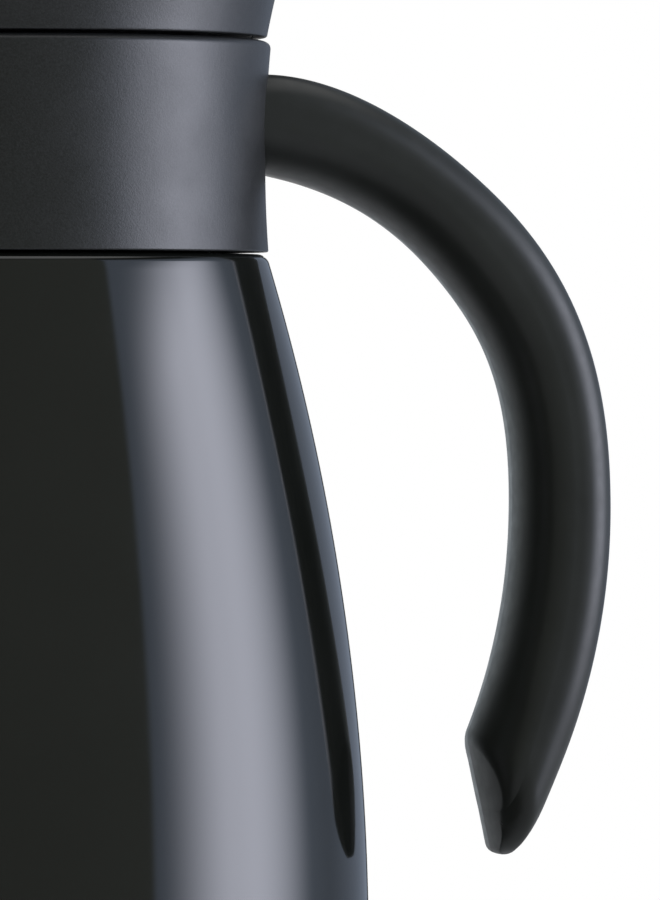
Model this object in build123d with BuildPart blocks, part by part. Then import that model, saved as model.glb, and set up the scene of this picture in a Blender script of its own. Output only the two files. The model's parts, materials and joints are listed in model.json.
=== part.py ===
from build123d import *
from math import cos, pi, radians, sin, sqrt
import os

# A hand-held vacuum carafe: steel vacuum flask, plastic neck collar with an
# open-ended handle, and a screw-in stopper with a push-button pouring valve.
# Millimetres. +Z is up, the origin is the middle of the foot pad's underside,
# +X points to the handle and -X to the pouring lip.

# ---- driving dimensions ----
# Outer shell
BODY_R = 68.5  # widest radius
WIDEST_Z = 34.0  # height of the widest place
BODY_ARC = 455.0  # radius of the long side curve, in side view
SHEET = 0.6  # sheet steel thickness
SHELL_BOTTOM_Z = 9.6
SHELL_FOOT_R = 64.7
SHELL_FOOT_ROUND = 1.2
SHOULDER_ROUND = 2.0
NECK_FOOT_ROUND = 2.4
PLATE_R = 61.0  # bottom plate, and the opening of the rolled foot
EVACUATION_R = 3.0
SHOULDER_Z = 165.2  # flat shoulder under the collar
NECK_OUTER_R = 38.6
NECK_TOP_Z = 190.0  # steel mouth
# Inner flask
FLASK_GAP = 5.6  # between the two walls at the widest place
FLASK_BOTTOM_Z = 15.0
FLASK_SHOULDER_Z = 151.0
NECK_R = 34.0  # bore of the neck
THROAT_RISE = 9.0  # height of the cone between shoulder and neck
FLASK_ROUND = 9.0  # at the bottom and the shoulder
THROAT_ROUND = 6.0
MOUTH_ROUND = 0.9
GETTER_X = 24.0
GETTER_R = 6.0
GETTER_H = 2.0
FOIL = 0.2
FOIL_TOP_Z = 138.0
# Foot
PAD_R = 54.6
PAD_H = 2.0
BASE_BOTTOM_Z = 0.8
BASE_TOP_Z = 9.2
BASE_FOOT_R = 62.9
BASE_TOP_R = 64.3
BASE_WALL = 2.0
BASE_INNER_R = 61.6
RING_RIBS = (30.0, 52.0)  # outer radii of the ribs under the steel bottom
# Collar
COLLAR_BOTTOM_Z = 165.6
COLLAR_TOP_Z = 205.5
COLLAR_BOTTOM_R = 49.5
COLLAR_WAIST_R = 48.9
COLLAR_WAIST_Z = 182.0
COLLAR_TOP_R = 49.9
COLLAR_SIDE_TOP_Z = 203.9  # the rounded brow starts here
COLLAR_BROW = 2.6
COLLAR_WALL = 2.4
SLEEVE_R = 41.2  # outside of the sleeve round the steel neck
SLEEVE_BOTTOM_Z = 168.0
SLEEVE_STEP = 2.2  # the sleeve thickens towards the flange
SLEEVE_STEP_LOW_Z = 186.5
SLEEVE_STEP_HIGH_Z = 188.5
SLOT_TOP_Z = 184.0
COLLAR_RIBS = 8
COLLAR_RIB_T = 1.8
SOCKET_R = 41.0  # seat of the mouth ring
# Screw thread between mouth ring and stopper
LEAD = 24.0  # rise per turn, three starts
STARTS = 3
MOUTH_RING_BOTTOM_Z = 191.2
MOUTH_RING_TOP_Z = 205.0
MOUTH_R = 36.8  # root of the female thread
FEMALE_CREST_R = 35.6
MALE_ROOT_R = 35.0
MALE_CREST_R = 36.4
RIDGE_TURN = 80.0  # degrees covered by each ridge
RIDGE_BASE = 2.4
RIDGE_CREST = 1.6
FEMALE_Z = 196.5  # low end of the female ridges
MALE_Z = 193.7  # low end of the male ridges, just under the female ones
# Stopper plug
PLUG_R = 33.2
PLUG_BOTTOM_Z = 172.0
PLUG_FLANGE_Z = 206.3
PLUG_TOP_Z = 208.6
PLUG_FLANGE_R = 46.6
PLUG_FLOOR = 2.4
PLUG_BORE_R = 32.6  # above, behind the thread
PLUG_BORE_LOW_R = 28.6
PLUG_STEP_LOW_Z = 189.0
PLUG_STEP_HIGH_Z = 192.0
THREAD_FOOT_LOW_Z = 190.7
THREAD_FOOT_HIGH_Z = 192.5
SCREW_BOSS_R = 3.4
SCREW_BOSS_H = 24.0
GROOVE_R = 31.0
GROOVE_Z = 175.0
GROOVE_H = 4.2
RUN_GAP = 0.06  # running clearance of sliding and turning pieces
TUBE_R = 10.0  # pouring tube
TUBE_WALL = 1.8
VALVE_SEAT_R = 9.0
SCREW_CIRCLE_R = 27.8
# Lid
LID_BOTTOM_Z = 206.1
LID_RIM_Z = 228.0
LID_BOTTOM_R = 49.2
LID_SLOPE = 0.19  # flare at the bottom edge
LID_FLARE = 170.0  # radius of the flare's curve
LID_WALL = 2.4
LIP_START_Z = 213.0
LIP_REACH = 8.0
LIP_SHARPNESS = 40
DECK_TOP_Z = 210.4
CHANNEL_HALF = 11.0
CHANNEL_WALL = 1.8
CHANNEL_END_X = 47.0
CHANNEL_COVER_Z = 217.0
CHANNEL_COVER_T = 2.0
GUIDE_R = 5.4
GUIDE_TOP_Z = 221.0
SEAL_R = 4.2
SEAL_H = 1.7
SHELF_UNDER_Z = 221.0
SHELF_REACH = 2.2
SHELF_T = 1.4
NOTCH_X = 38.0  # distance of the pour opening from the axis
WELL_R = 14.0
WELL_WALL = 2.0
# Lid top cover and button
COVER_R = 51.0
COVER_SEAT_Z = 224.0
COVER_T = 2.2
DOME_MID = (36.5, 229.4)
DOME_CROWN_Z = 231.4
HUB_BOTTOM_Z = 222.0
HUB_WALL = 1.6
NOTCH_WALL_X = 48.0
BUTTON_HOLE_R = 17.4
BUTTON_R = 17.0
BUTTON_TOP_Z = 236.8
BUTTON_SKIRT_Z = 225.0
BUTTON_WALL = 1.6
BUTTON_CROWN = 2.6  # thickness under the dished top
BUTTON_ROUND = 1.5
DISH_R = 15.4
DISH_DEPTH = 0.9
STEM_BOSS_R = 5.0
STEM_BOSS_Z = 226.5
TRIM_R = 20.6
TRIM_Z = 230.4
TRIM_INNER_Z = 231.9
TRIM_CROWN = (18.7, 232.5)
STEM_R = 2.5
STEM_TOP_Z = 232.0
VALVE_R = 12.0
VALVE_GAP = 0.1  # under the seat
VALVE_GASKET_R = 6.5  # inner radius
GASKET_T = 1.8
DISC_T = 2.0
DISC_BOSS_H = 1.5
SPRING_R = 8.0
SPRING_WIRE_R = 0.55
SPRING_TURNS = 5
# Handle
HANDLE_HALF = 15.0  # half of its width
HANDLE_EDGE = 6.0  # radius along its outer edges
ROLL_DEPTH = 8.5  # its inner side is a half ellipse this deep
ROLL_BULGE = 1.8  # and stands this far inside the side outline
HANDLE_WALL = 2.4
HANDLE_CORE_X = 61.0  # the root is solid up to here
HANDLE_BOSS_R = 3.0
PIN_R = 1.4
HANDLE_SCREW_Y = 6.0
HANDLE_SCREW_Z = 190.4
HEAD_X = 45.8  # bearing face of the handle screws' heads
DRIVER_R = 2.3  # holes in the sleeve for the screwdriver
SCREW_CORE_R = 1.25

os.makedirs("parts", exist_ok=True)


def side_arc(widest_r, arc_r, height):
    """Radius at a height of a wall whose widest radius lies at WIDEST_Z."""
    return widest_r - arc_r + sqrt(arc_r**2 - (height - WIDEST_Z) ** 2)


def lid_radius(height):
    """Outer radius of the lid's flare at a height."""
    rise = height - LID_BOTTOM_Z
    return LID_BOTTOM_R + LID_SLOPE * rise + rise**2 / (2 * LID_FLARE)


def lip_outline(height, inset):
    """Closed outline of the lid at a height, drawn out to a lip at -X."""
    grown = max(0.0, (height - LIP_START_Z) / (LID_RIM_Z - LIP_START_Z)) ** 1.5
    points = []
    for degrees in range(0, 360, 6):
        angle = radians(degrees)
        lip = LIP_REACH * grown * ((1 - cos(angle)) / 2) ** LIP_SHARPNESS
        radius = lid_radius(height) - inset + lip
        points.append((radius * cos(angle), radius * sin(angle)))
    return points


def lip_loft(inset, heights):
    """Solid lid form through the outlines at the given heights."""
    with BuildPart() as form:
        for height in heights:
            with BuildSketch(Plane.XY.offset(height)):
                with BuildLine():
                    Spline(*lip_outline(height, inset), periodic=True)
                make_face()
        loft()
    return form.part


def thread_ridge(root_r, crest_r, low_z):
    """One helical ridge, rooted in a wall at root_r and ending at crest_r."""
    height = crest_r - root_r
    sunk = -0.4 if height > 0 else 0.4
    with BuildPart() as ridge:
        with BuildLine(Plane.XY.offset(low_z)):
            path = Helix(pitch=LEAD, height=LEAD * RIDGE_TURN / 360, radius=root_r)
        with BuildSketch(Plane(origin=path @ 0, x_dir=(1, 0, 0), z_dir=path % 0)):
            with BuildLine():
                Polyline(
                    (sunk, -RIDGE_BASE / 2),
                    (height, -RIDGE_CREST / 2),
                    (height, RIDGE_CREST / 2),
                    (sunk, RIDGE_BASE / 2),
                    close=True,
                )
            make_face()
        sweep(is_frenet=True)
    return ridge.part


def finish(piece, name):
    """Label a finished piece and write it."""
    piece.label = name
    export_step(piece, f"parts/{name}.step")


# ---- flask ----
half_sheet = SHEET / 2
wall_r = BODY_R - half_sheet
shoulder_mid = SHOULDER_Z - half_sheet
foot_mid = SHELL_BOTTOM_Z + half_sheet

# Outer wall: rolled foot, bulged side, flat shoulder, straight neck
with BuildPart() as outer_shell:
    with BuildSketch(Plane.XZ):
        with BuildLine() as wall_line:
            foot = (SHELL_FOOT_R - half_sheet, foot_mid)
            widest = (wall_r, WIDEST_Z)
            shoulder = (side_arc(wall_r, BODY_ARC, shoulder_mid), shoulder_mid)
            neck_foot = (NECK_OUTER_R - half_sheet, shoulder_mid)
            Line((PLATE_R, foot_mid), foot)
            TangentArc(widest, foot, tangent=(0, -1))
            TangentArc(widest, shoulder, tangent=(0, 1))
            Line(shoulder, neck_foot)
            Line(neck_foot, (neck_foot[0], NECK_TOP_Z - SHEET))
            fillet(wall_line.vertices().sort_by_distance(foot)[0], SHELL_FOOT_ROUND)
            fillet(wall_line.vertices().sort_by_distance(shoulder)[0], SHOULDER_ROUND)
            fillet(wall_line.vertices().sort_by_distance(neck_foot)[0], NECK_FOOT_ROUND)
        trace(line_width=SHEET)
    revolve(axis=Axis.Z)
finish(outer_shell.part, "outer_shell")

# Inner wall: domed bottom, bulged side, steep shoulder, neck with a rolled mouth
flask_r = BODY_R - SHEET - FLASK_GAP - half_sheet
with BuildPart() as inner_flask:
    with BuildSketch(Plane.XZ):
        with BuildLine() as flask_line:
            corner = (flask_r - 2.5, FLASK_BOTTOM_Z)
            widest = (flask_r, WIDEST_Z)
            shoulder = (side_arc(flask_r, BODY_ARC, FLASK_SHOULDER_Z), FLASK_SHOULDER_Z)
            throat = (NECK_R + half_sheet, FLASK_SHOULDER_Z + THROAT_RISE)
            mouth = (NECK_R + half_sheet, NECK_TOP_Z - half_sheet)
            Line((0, FLASK_BOTTOM_Z), corner)
            TangentArc(widest, corner, tangent=(0, -1))
            TangentArc(widest, shoulder, tangent=(0, 1))
            Line(shoulder, throat)
            Line(throat, mouth)
            Line(mouth, (NECK_OUTER_R, mouth[1]))
            fillet(flask_line.vertices().sort_by_distance(corner)[0], FLASK_ROUND)
            fillet(flask_line.vertices().sort_by_distance(shoulder)[0], FLASK_ROUND)
            fillet(flask_line.vertices().sort_by_distance(throat)[0], THROAT_ROUND)
            fillet(flask_line.vertices().sort_by_distance(mouth)[0], MOUTH_ROUND)
        trace(line_width=SHEET)
    revolve(axis=Axis.Z)
finish(inner_flask.part, "inner_flask")

# Steel disc that closes the vacuum space, with its evacuation hole
with BuildPart() as bottom_plate:
    with BuildSketch(Plane.XY.offset(SHELL_BOTTOM_Z)):
        Circle(PLATE_R)
        Circle(EVACUATION_R, mode=Mode.SUBTRACT)
    extrude(amount=SHEET)
finish(bottom_plate.part, "bottom_plate")

with BuildPart() as evacuation_seal:
    with BuildSketch(Plane.XY.offset(SHELL_BOTTOM_Z)):
        Circle(EVACUATION_R)
    extrude(amount=SHEET + 0.6)
finish(evacuation_seal.part, "evacuation_seal")

with BuildPart() as getter_pill:
    with BuildSketch(Plane.XY.offset(SHELL_BOTTOM_Z + SHEET)):
        with Locations((GETTER_X, 0)):
            Circle(GETTER_R)
    extrude(amount=GETTER_H)
    fillet(getter_pill.edges().group_by(Axis.Z)[-1], 0.6)
finish(getter_pill.part, "getter_pill")

# Foil wrapped round the inner flask
foil_r = flask_r + half_sheet + FOIL / 2 + 0.05
with BuildPart() as radiation_shield:
    with BuildSketch(Plane.XZ):
        with BuildLine():
            TangentArc(
                (foil_r, WIDEST_Z),
                (side_arc(foil_r, BODY_ARC, FOIL_TOP_Z), FOIL_TOP_Z),
                tangent=(0, 1),
            )
        trace(line_width=FOIL)
    revolve(axis=Axis.Z)
finish(radiation_shield.part, "radiation_shield")

# ---- foot ----
with BuildPart() as base_cover:
    with BuildSketch(Plane.XZ):
        with BuildLine() as base_line:
            Polyline(
                (0, PAD_H),
                (PAD_R + 0.4, PAD_H),
                (PAD_R + 0.4, BASE_BOTTOM_Z),
                (BASE_FOOT_R, BASE_BOTTOM_Z),
                (BASE_TOP_R, BASE_TOP_Z),
                (BASE_TOP_R - BASE_WALL, BASE_TOP_Z),
                (BASE_INNER_R, PAD_H + BASE_WALL),
                (0, PAD_H + BASE_WALL),
                close=True,
            )
        base_profile = make_face()
        fillet(base_profile.vertices().sort_by_distance((BASE_FOOT_R, BASE_BOTTOM_Z))[0], 2.6)
        fillet(base_profile.vertices().sort_by_distance((BASE_TOP_R, BASE_TOP_Z))[0], 0.5)
    revolve(axis=Axis.Z)
    # Ring ribs that the steel bottom is bonded to
    rib_foot_z = PAD_H + BASE_WALL - 0.2
    for rib_r in RING_RIBS:
        with BuildSketch(Plane.XY.offset(rib_foot_z)):
            Circle(rib_r)
            Circle(rib_r - BASE_WALL, mode=Mode.SUBTRACT)
        extrude(amount=SHELL_BOTTOM_Z - rib_foot_z)
finish(base_cover.part, "base_cover")

with BuildPart() as foot_pad:
    with BuildSketch():
        Circle(PAD_R)
    extrude(amount=PAD_H)
    chamfer(foot_pad.edges().group_by(Axis.Z)[0], 0.4)
finish(foot_pad.part, "foot_pad")

# ---- neck collar ----
sleeve_step = SLEEVE_R + SLEEVE_STEP
collar_inner_waist = COLLAR_WAIST_R - COLLAR_WALL
flange_under_z = COLLAR_TOP_Z - COLLAR_WALL


def collar_outside():
    """Waisted side line of the collar, from its bottom edge to its brow."""
    return ThreePointArc(
        (COLLAR_BOTTOM_R, COLLAR_BOTTOM_Z),
        (COLLAR_WAIST_R, COLLAR_WAIST_Z),
        (COLLAR_TOP_R, COLLAR_SIDE_TOP_Z),
    )


with BuildPart() as neck_collar:
    with BuildSketch(Plane.XZ):
        with BuildLine():
            collar_outside()
            Bezier(
                (COLLAR_TOP_R, COLLAR_SIDE_TOP_Z),
                (COLLAR_TOP_R + 0.02, COLLAR_SIDE_TOP_Z + 1.1),
                (COLLAR_TOP_R - 0.9, COLLAR_TOP_Z),
                (COLLAR_TOP_R - COLLAR_BROW, COLLAR_TOP_Z),
            )
            inner_bottom = (COLLAR_BOTTOM_R - COLLAR_WALL, COLLAR_BOTTOM_Z)
            inner_top = (COLLAR_TOP_R - COLLAR_WALL, flange_under_z)
            Polyline(
                (COLLAR_TOP_R - COLLAR_BROW, COLLAR_TOP_Z),
                (SOCKET_R, COLLAR_TOP_Z),
                (SOCKET_R, NECK_TOP_Z),
                (NECK_OUTER_R + 0.1, NECK_TOP_Z),
                (NECK_OUTER_R + 0.1, SLEEVE_BOTTOM_Z),
                (SLEEVE_R, SLEEVE_BOTTOM_Z),
                (SLEEVE_R, SLEEVE_STEP_LOW_Z),
                (sleeve_step, SLEEVE_STEP_HIGH_Z),
                (sleeve_step, flange_under_z),
                inner_top,
            )
            ThreePointArc(inner_top, (collar_inner_waist, COLLAR_WAIST_Z), inner_bottom)
            Line(inner_bottom, (COLLAR_BOTTOM_R, COLLAR_BOTTOM_Z))
        make_face()
    revolve(axis=Axis.Z)
    # Ribs between the sleeve and the skin
    with BuildSketch(Plane.XY.offset(NECK_TOP_Z)):
        with PolarLocations(45.0, COLLAR_RIBS, start_angle=180 / COLLAR_RIBS):
            Rectangle(5.0, COLLAR_RIB_T)
    extrude(amount=flange_under_z - NECK_TOP_Z + 0.5)
    # Round pads inside the skin for the handle screws' heads
    with BuildSketch(Plane.YZ.offset(HEAD_X)):
        with Locations((HANDLE_SCREW_Y, HANDLE_SCREW_Z), (-HANDLE_SCREW_Y, HANDLE_SCREW_Z)):
            Circle(SCREW_BOSS_R)
    extrude(amount=1.8)
    # Slots that let the sleeve close on the neck
    with BuildSketch(Plane.XY.offset(SLOT_TOP_Z)):
        with PolarLocations(40.0, 4, start_angle=45):
            Rectangle(6.0, 2.0)
    extrude(amount=SLEEVE_BOTTOM_Z - SLOT_TOP_Z - 1, mode=Mode.SUBTRACT)
    # Handle screws pass the skin; wider holes in the sleeve let the driver in
    with BuildSketch(Plane.YZ.offset(30.0)):
        with Locations((HANDLE_SCREW_Y, HANDLE_SCREW_Z), (-HANDLE_SCREW_Y, HANDLE_SCREW_Z)):
            Circle(DRIVER_R)
    extrude(amount=14.5, mode=Mode.SUBTRACT)
    with BuildSketch(Plane.YZ.offset(45.0)):
        with Locations((HANDLE_SCREW_Y, HANDLE_SCREW_Z), (-HANDLE_SCREW_Y, HANDLE_SCREW_Z)):
            Circle(SCREW_CORE_R + 0.2)
    extrude(amount=6.0, mode=Mode.SUBTRACT)
finish(neck_collar.part, "neck_collar")

with BuildPart() as neck_gasket:
    with BuildSketch(Plane.XY.offset(NECK_TOP_Z)):
        Circle(NECK_OUTER_R - 0.2)
        Circle(NECK_R + 0.7, mode=Mode.SUBTRACT)
    extrude(amount=MOUTH_RING_BOTTOM_Z - NECK_TOP_Z)
finish(neck_gasket.part, "neck_gasket")

# Ring in the collar's socket, with the female thread
with BuildPart() as mouth_ring:
    with BuildSketch(Plane.XZ):
        with BuildLine():
            Polyline(
                (NECK_R + 0.8, MOUTH_RING_BOTTOM_Z),
                (SOCKET_R, MOUTH_RING_BOTTOM_Z),
                (SOCKET_R, MOUTH_RING_TOP_Z),
                (MOUTH_R + 0.8, MOUTH_RING_TOP_Z),
                (MOUTH_R, MOUTH_RING_TOP_Z - 0.8),
                (MOUTH_R, MOUTH_RING_BOTTOM_Z + 0.8),
                (NECK_R + 0.8, MOUTH_RING_BOTTOM_Z + 0.8),
                close=True,
            )
        make_face()
    revolve(axis=Axis.Z)
    with PolarLocations(0, STARTS):
        add(thread_ridge(MOUTH_R, FEMALE_CREST_R, FEMALE_Z))
finish(mouth_ring.part, "mouth_ring")

# Steel strap round the sleeve, drawn tight by one screw opposite the handle
BAND_Z = 171.0
BAND_H = 8.0
BAND_T = 0.6
EAR_Y = 2.0
CLAMP_X = -44.0
CLAMP_R = 1.0
band_r = SLEEVE_R + 0.05
with BuildPart() as clamp_band:
    with BuildSketch(Plane.XY.offset(BAND_Z)):
        Circle(band_r + BAND_T)
        Circle(band_r, mode=Mode.SUBTRACT)
        with Locations((-band_r, 0)):
            Rectangle(6.0, 2 * EAR_Y, mode=Mode.SUBTRACT)
        for side in (-1, 1):
            with Locations((-band_r - 2.5, side * (EAR_Y + BAND_T / 2))):
                Rectangle(4.4, BAND_T)
    extrude(amount=BAND_H)
    with Locations(Plane.XZ.offset(-5.0).location * Location((CLAMP_X, BAND_Z + BAND_H / 2))):
        Cylinder(CLAMP_R + 0.05, 20.0, mode=Mode.SUBTRACT)
finish(clamp_band.part, "clamp_band")

# Planes across the strap's gap: sketches on them lie at the screw's axis
ear_outside = EAR_Y + BAND_T
clamp_centre = (CLAMP_X, BAND_Z + BAND_H / 2)
with BuildPart() as clamp_screw:
    with BuildSketch(Plane.XZ.offset(ear_outside)):
        with Locations(clamp_centre):
            Circle(1.9)
    extrude(amount=1.6)
    with BuildSketch(Plane.XZ.offset(ear_outside + 1.6)):
        with Locations(clamp_centre):
            Rectangle(4.0, 0.5)
    extrude(amount=-0.7, mode=Mode.SUBTRACT)
    with BuildSketch(Plane.XZ.offset(-ear_outside - 2.2)):
        with Locations(clamp_centre):
            Circle(CLAMP_R)
    extrude(amount=2 * ear_outside + 2.2)
finish(clamp_screw.part, "clamp_screw")

with BuildPart() as clamp_nut:
    with BuildSketch(Plane.XZ.offset(-ear_outside)):
        with Locations(clamp_centre):
            RegularPolygon(2.0, 6, major_radius=False)
            Circle(CLAMP_R, mode=Mode.SUBTRACT)
    extrude(amount=-1.6)
finish(clamp_nut.part, "clamp_nut")

# ---- handle ----
# Side view of the handle, in X and Z. Both curves run on past the free end,
# which is cut to its slanted face afterwards.
BEAK = (89.04, 73.69)  # corner where the inner curve meets the free end
END_LOW = (93.36, 53.59)  # the slanted face ends and the tip's rounding starts
TIP = (96.0, 51.0)  # lowest point
END_CORNER_R = 10.0  # rounding of the free end's corners, seen from behind


ROLL_SPARE = 1.0  # material left beyond the inner side, for the roll's cutter
END_ROUND = 6.0  # radius along the sides of the slanted end


def moved(x, z, direction, amount):
    """Point moved by amount in a direction given in degrees from +X."""
    turn = radians(direction)
    return (x + amount * cos(turn), z + amount * sin(turn))


def inner_line(amount):
    """Inner side line from the root to past the free end, moved into the handle."""
    bend = moved(52.3, 181.5, 77.2, amount)
    shoulder = moved(85.5, 161.5, 39.9, amount)
    widest = moved(99.8, 118.9, 0, amount)
    beak = moved(90.7, 73.0, -22.7, amount)
    Line(moved(45.0, 183.16, 77.2, amount), bend)
    Bezier(bend, moved(70.3, 177.5, 77.2, amount), moved(79.8, 168.2, 39.9, amount), shoulder)
    Bezier(shoulder, moved(94.9, 150.49, 39.9, amount), moved(99.8, 139.5, 0, amount), widest)
    Bezier(widest, moved(99.8, 100.6, 0, amount), moved(96.5, 86.6, -22.7, amount), beak)
    Line(beak, moved(82.2, 52.72, -22.7, amount))


def handle_outline(inset):
    """Closed side outline, root inside the collar, free end overlong.

    Each corner of the outer side moves inwards by inset, square to the wall there.
    """
    root_top = moved(45.0, 199.2, -90, inset)
    bend_top = moved(47.7, 199.2, -90, inset)
    shoulder = moved(95.1, 173.9, 223.1, inset)
    widest = moved(115.0, 117.0, 180, inset)
    tip_out = moved(96.2, 50.6, 149, inset)
    Line(root_top, bend_top)
    Bezier(
        bend_top, moved(69.5, 199.2, -90, inset), moved(90.6, 178.6, 223.1, inset), shoulder
    )
    Bezier(
        shoulder, moved(111.5, 156.81, 223.1, inset), moved(115.0, 137.0, 180, inset), widest
    )
    Bezier(widest, moved(115.0, 93.6, 180, inset), moved(108.6, 70.7, 149, inset), tip_out)
    inner_amount = inset - ROLL_BULGE - ROLL_SPARE
    inner_line(inner_amount)
    Polyline(
        moved(82.2, 52.72, -22.7, inner_amount), moved(91.1, 42.13, 149, inset), tip_out
    )
    Line(moved(45.0, 183.16, 77.2, inner_amount), root_top)


def beside_roll(deep, half, flat):
    """Section of what is cut away from a side: flat in the middle, then rounded.

    Local x runs into the handle, local y from the parting plane to the outside.
    """
    turns = [radians(turn) for turn in (0, 15, 30, 45, 60, 73, 86)]
    round_points = [
        (deep * (1 - cos(turn)), flat + (half - flat) * sin(turn)) for turn in turns
    ]
    end = round_points[-1]
    Line((0, -1), (0, flat))
    Spline(
        *round_points,
        tangents=((0, 1), (deep * sin(turns[-1]), (half - flat) * cos(turns[-1]))),
    )
    Polyline(end, (end[0], half + 3), (-4, half + 3), (-4, -1), (0, -1))


def side_plane(start, along):
    """Plane square to a side line, x into the handle, y towards -Y."""
    into = Vector(-along.Z, 0, along.X)
    return Plane(origin=start, x_dir=into, z_dir=along)


def end_cutter(inset):
    """Rounds the two side edges of the slanted end."""
    along = Vector(END_LOW[0] - BEAK[0], 0, END_LOW[1] - BEAK[1]).normalized()
    into = Vector(-along.Z, 0, along.X)
    start = Vector(BEAK[0], 0, BEAK[1]) + into * inset - along * 14.0
    with BuildPart() as cutter:
        with BuildSketch(Plane(origin=start, x_dir=into, z_dir=along)):
            with BuildLine():
                beside_roll(END_ROUND - inset, HANDLE_HALF + 0.05 - inset, HANDLE_HALF - END_ROUND)
            make_face()
        extrude(amount=45.0)
    return cutter.part


def roll_cutter(inset):
    """Shapes the handle's inner side into a half ellipse."""
    with BuildPart() as cutter:
        with BuildLine(Plane.XZ) as path:
            inner_line(inset - ROLL_BULGE)
        line = path.wires()[0]
        along = line % 0
        with BuildSketch(side_plane(line @ 0, along)):
            with BuildLine():
                beside_roll(ROLL_DEPTH - inset, HANDLE_HALF + 0.2 - inset, 0.0)
            make_face()
        sweep(path=line)
    return cutter.part


def handle_blank(inset):
    """Half of the handle on the -Y side, smaller by inset all round."""
    with BuildPart() as blank:
        with BuildSketch(Plane.XZ):
            with BuildLine():
                handle_outline(inset)
            make_face()
        extrude(amount=HANDLE_HALF - inset)
        # Round the outer side's long edges, then the inner side
        far_edges = blank.faces().sort_by(Axis.Y)[0].edges()
        outer_middles = ((75.0, 189.0), (110.0, 147.0), (110.0, 82.0))
        fillet(
            [
                far_edges.sort_by_distance((x, inset - HANDLE_HALF, z))[0]
                for x, z in outer_middles
            ],
            HANDLE_EDGE - inset,
        )
        add(roll_cutter(inset), mode=Mode.SUBTRACT)
        add(end_cutter(inset), mode=Mode.SUBTRACT)
        # Slanted end face with a rounded tip
        along = inset
        up = 0.6 * inset
        beak = (BEAK[0] + along, BEAK[1] + up)
        low = (END_LOW[0] + along, END_LOW[1] + up)
        tip = (TIP[0] + along, TIP[1] + up)
        high = (97.9 + along, 53.4 + up)
        with BuildSketch(Plane.XZ):
            with BuildLine():
                Line(beak, low)
                ThreePointArc(low, tip, high)
                Polyline(high, (120, high[1]), (120, 20), (60, 20), (60, beak[1]), beak)
            make_face()
        extrude(amount=HANDLE_HALF + 1, mode=Mode.SUBTRACT)
        # Rounded corner of the free end, seen from behind the handle
        side_y = inset - HANDLE_HALF
        corner_r = END_CORNER_R - inset
        corner_z = tip[1] + corner_r
        with BuildSketch(Plane.YZ.offset(HANDLE_CORE_X)):
            with BuildLine():
                ThreePointArc(
                    (side_y, corner_z),
                    (side_y + corner_r * (1 - sin(pi / 4)), corner_z - corner_r * sin(pi / 4)),
                    (side_y + corner_r, tip[1]),
                )
                Polyline(
                    (side_y + corner_r, tip[1]),
                    (side_y + corner_r, tip[1] - 3),
                    (side_y - 3, tip[1] - 3),
                    (side_y - 3, corner_z),
                    (side_y, corner_z),
                )
            make_face()
        extrude(amount=HANDLE_CORE_X, mode=Mode.SUBTRACT)
    return blank.part


# Everything inside the collar's outer surface
with BuildPart() as collar_envelope:
    with BuildSketch(Plane.XZ):
        with BuildLine():
            collar_outside()
            Polyline(
                (COLLAR_TOP_R, COLLAR_SIDE_TOP_Z),
                (0, COLLAR_SIDE_TOP_Z),
                (0, COLLAR_BOTTOM_Z),
                (COLLAR_BOTTOM_R, COLLAR_BOTTOM_Z),
            )
        make_face()
    revolve(axis=Axis.Z)

# Hollow of one half; the root stays solid for the screws
with BuildPart() as handle_hollow:
    add(handle_blank(HANDLE_WALL))
    with BuildSketch(Plane.YZ):
        with Locations((0, 190.0)):
            Rectangle(60.0, 60.0)
    extrude(amount=HANDLE_CORE_X, mode=Mode.SUBTRACT)

# The left half has pins that drop into the right half's bosses
HANDLE_PINS = ((96.0, 160.0), (107.3, 121.0), (102.0, 82.0))
PIN_REACH = 3.0


def handle_half(with_pins):
    """Hollow half of the handle on the -Y side, with pins or with holes for them."""
    with BuildPart() as half:
        add(handle_blank(0))
        add(collar_envelope.part, mode=Mode.SUBTRACT)
        add(handle_hollow.part, mode=Mode.SUBTRACT)
        with BuildSketch(Plane.XZ):
            with Locations(*HANDLE_PINS):
                Circle(HANDLE_BOSS_R)
        extrude(amount=HANDLE_HALF - 1)
        with BuildSketch(Plane.XZ):
            with Locations(*HANDLE_PINS):
                Circle(PIN_R)
        if with_pins:
            extrude(amount=-PIN_REACH)
        else:
            extrude(amount=PIN_REACH + 0.2, mode=Mode.SUBTRACT)
        with BuildSketch(Plane.YZ.offset(HEAD_X - 1)):
            with Locations((-HANDLE_SCREW_Y, HANDLE_SCREW_Z)):
                Circle(SCREW_CORE_R)
        extrude(amount=14.0, mode=Mode.SUBTRACT)
    return half.part


finish(handle_half(with_pins=True), "handle_left_half")
finish(mirror(handle_half(with_pins=False), about=Plane.XZ), "handle_right_half")

with BuildPart() as handle_screws:
    with BuildSketch(Plane.YZ.offset(HEAD_X)):
        with Locations((HANDLE_SCREW_Y, HANDLE_SCREW_Z), (-HANDLE_SCREW_Y, HANDLE_SCREW_Z)):
            Circle(2.2)
    extrude(amount=-1.8)
    with BuildSketch(Plane.YZ.offset(HEAD_X)):
        with Locations((HANDLE_SCREW_Y, HANDLE_SCREW_Z), (-HANDLE_SCREW_Y, HANDLE_SCREW_Z)):
            Circle(SCREW_CORE_R)
    extrude(amount=12.0)
finish(handle_screws.part, "handle_screws")

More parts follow.
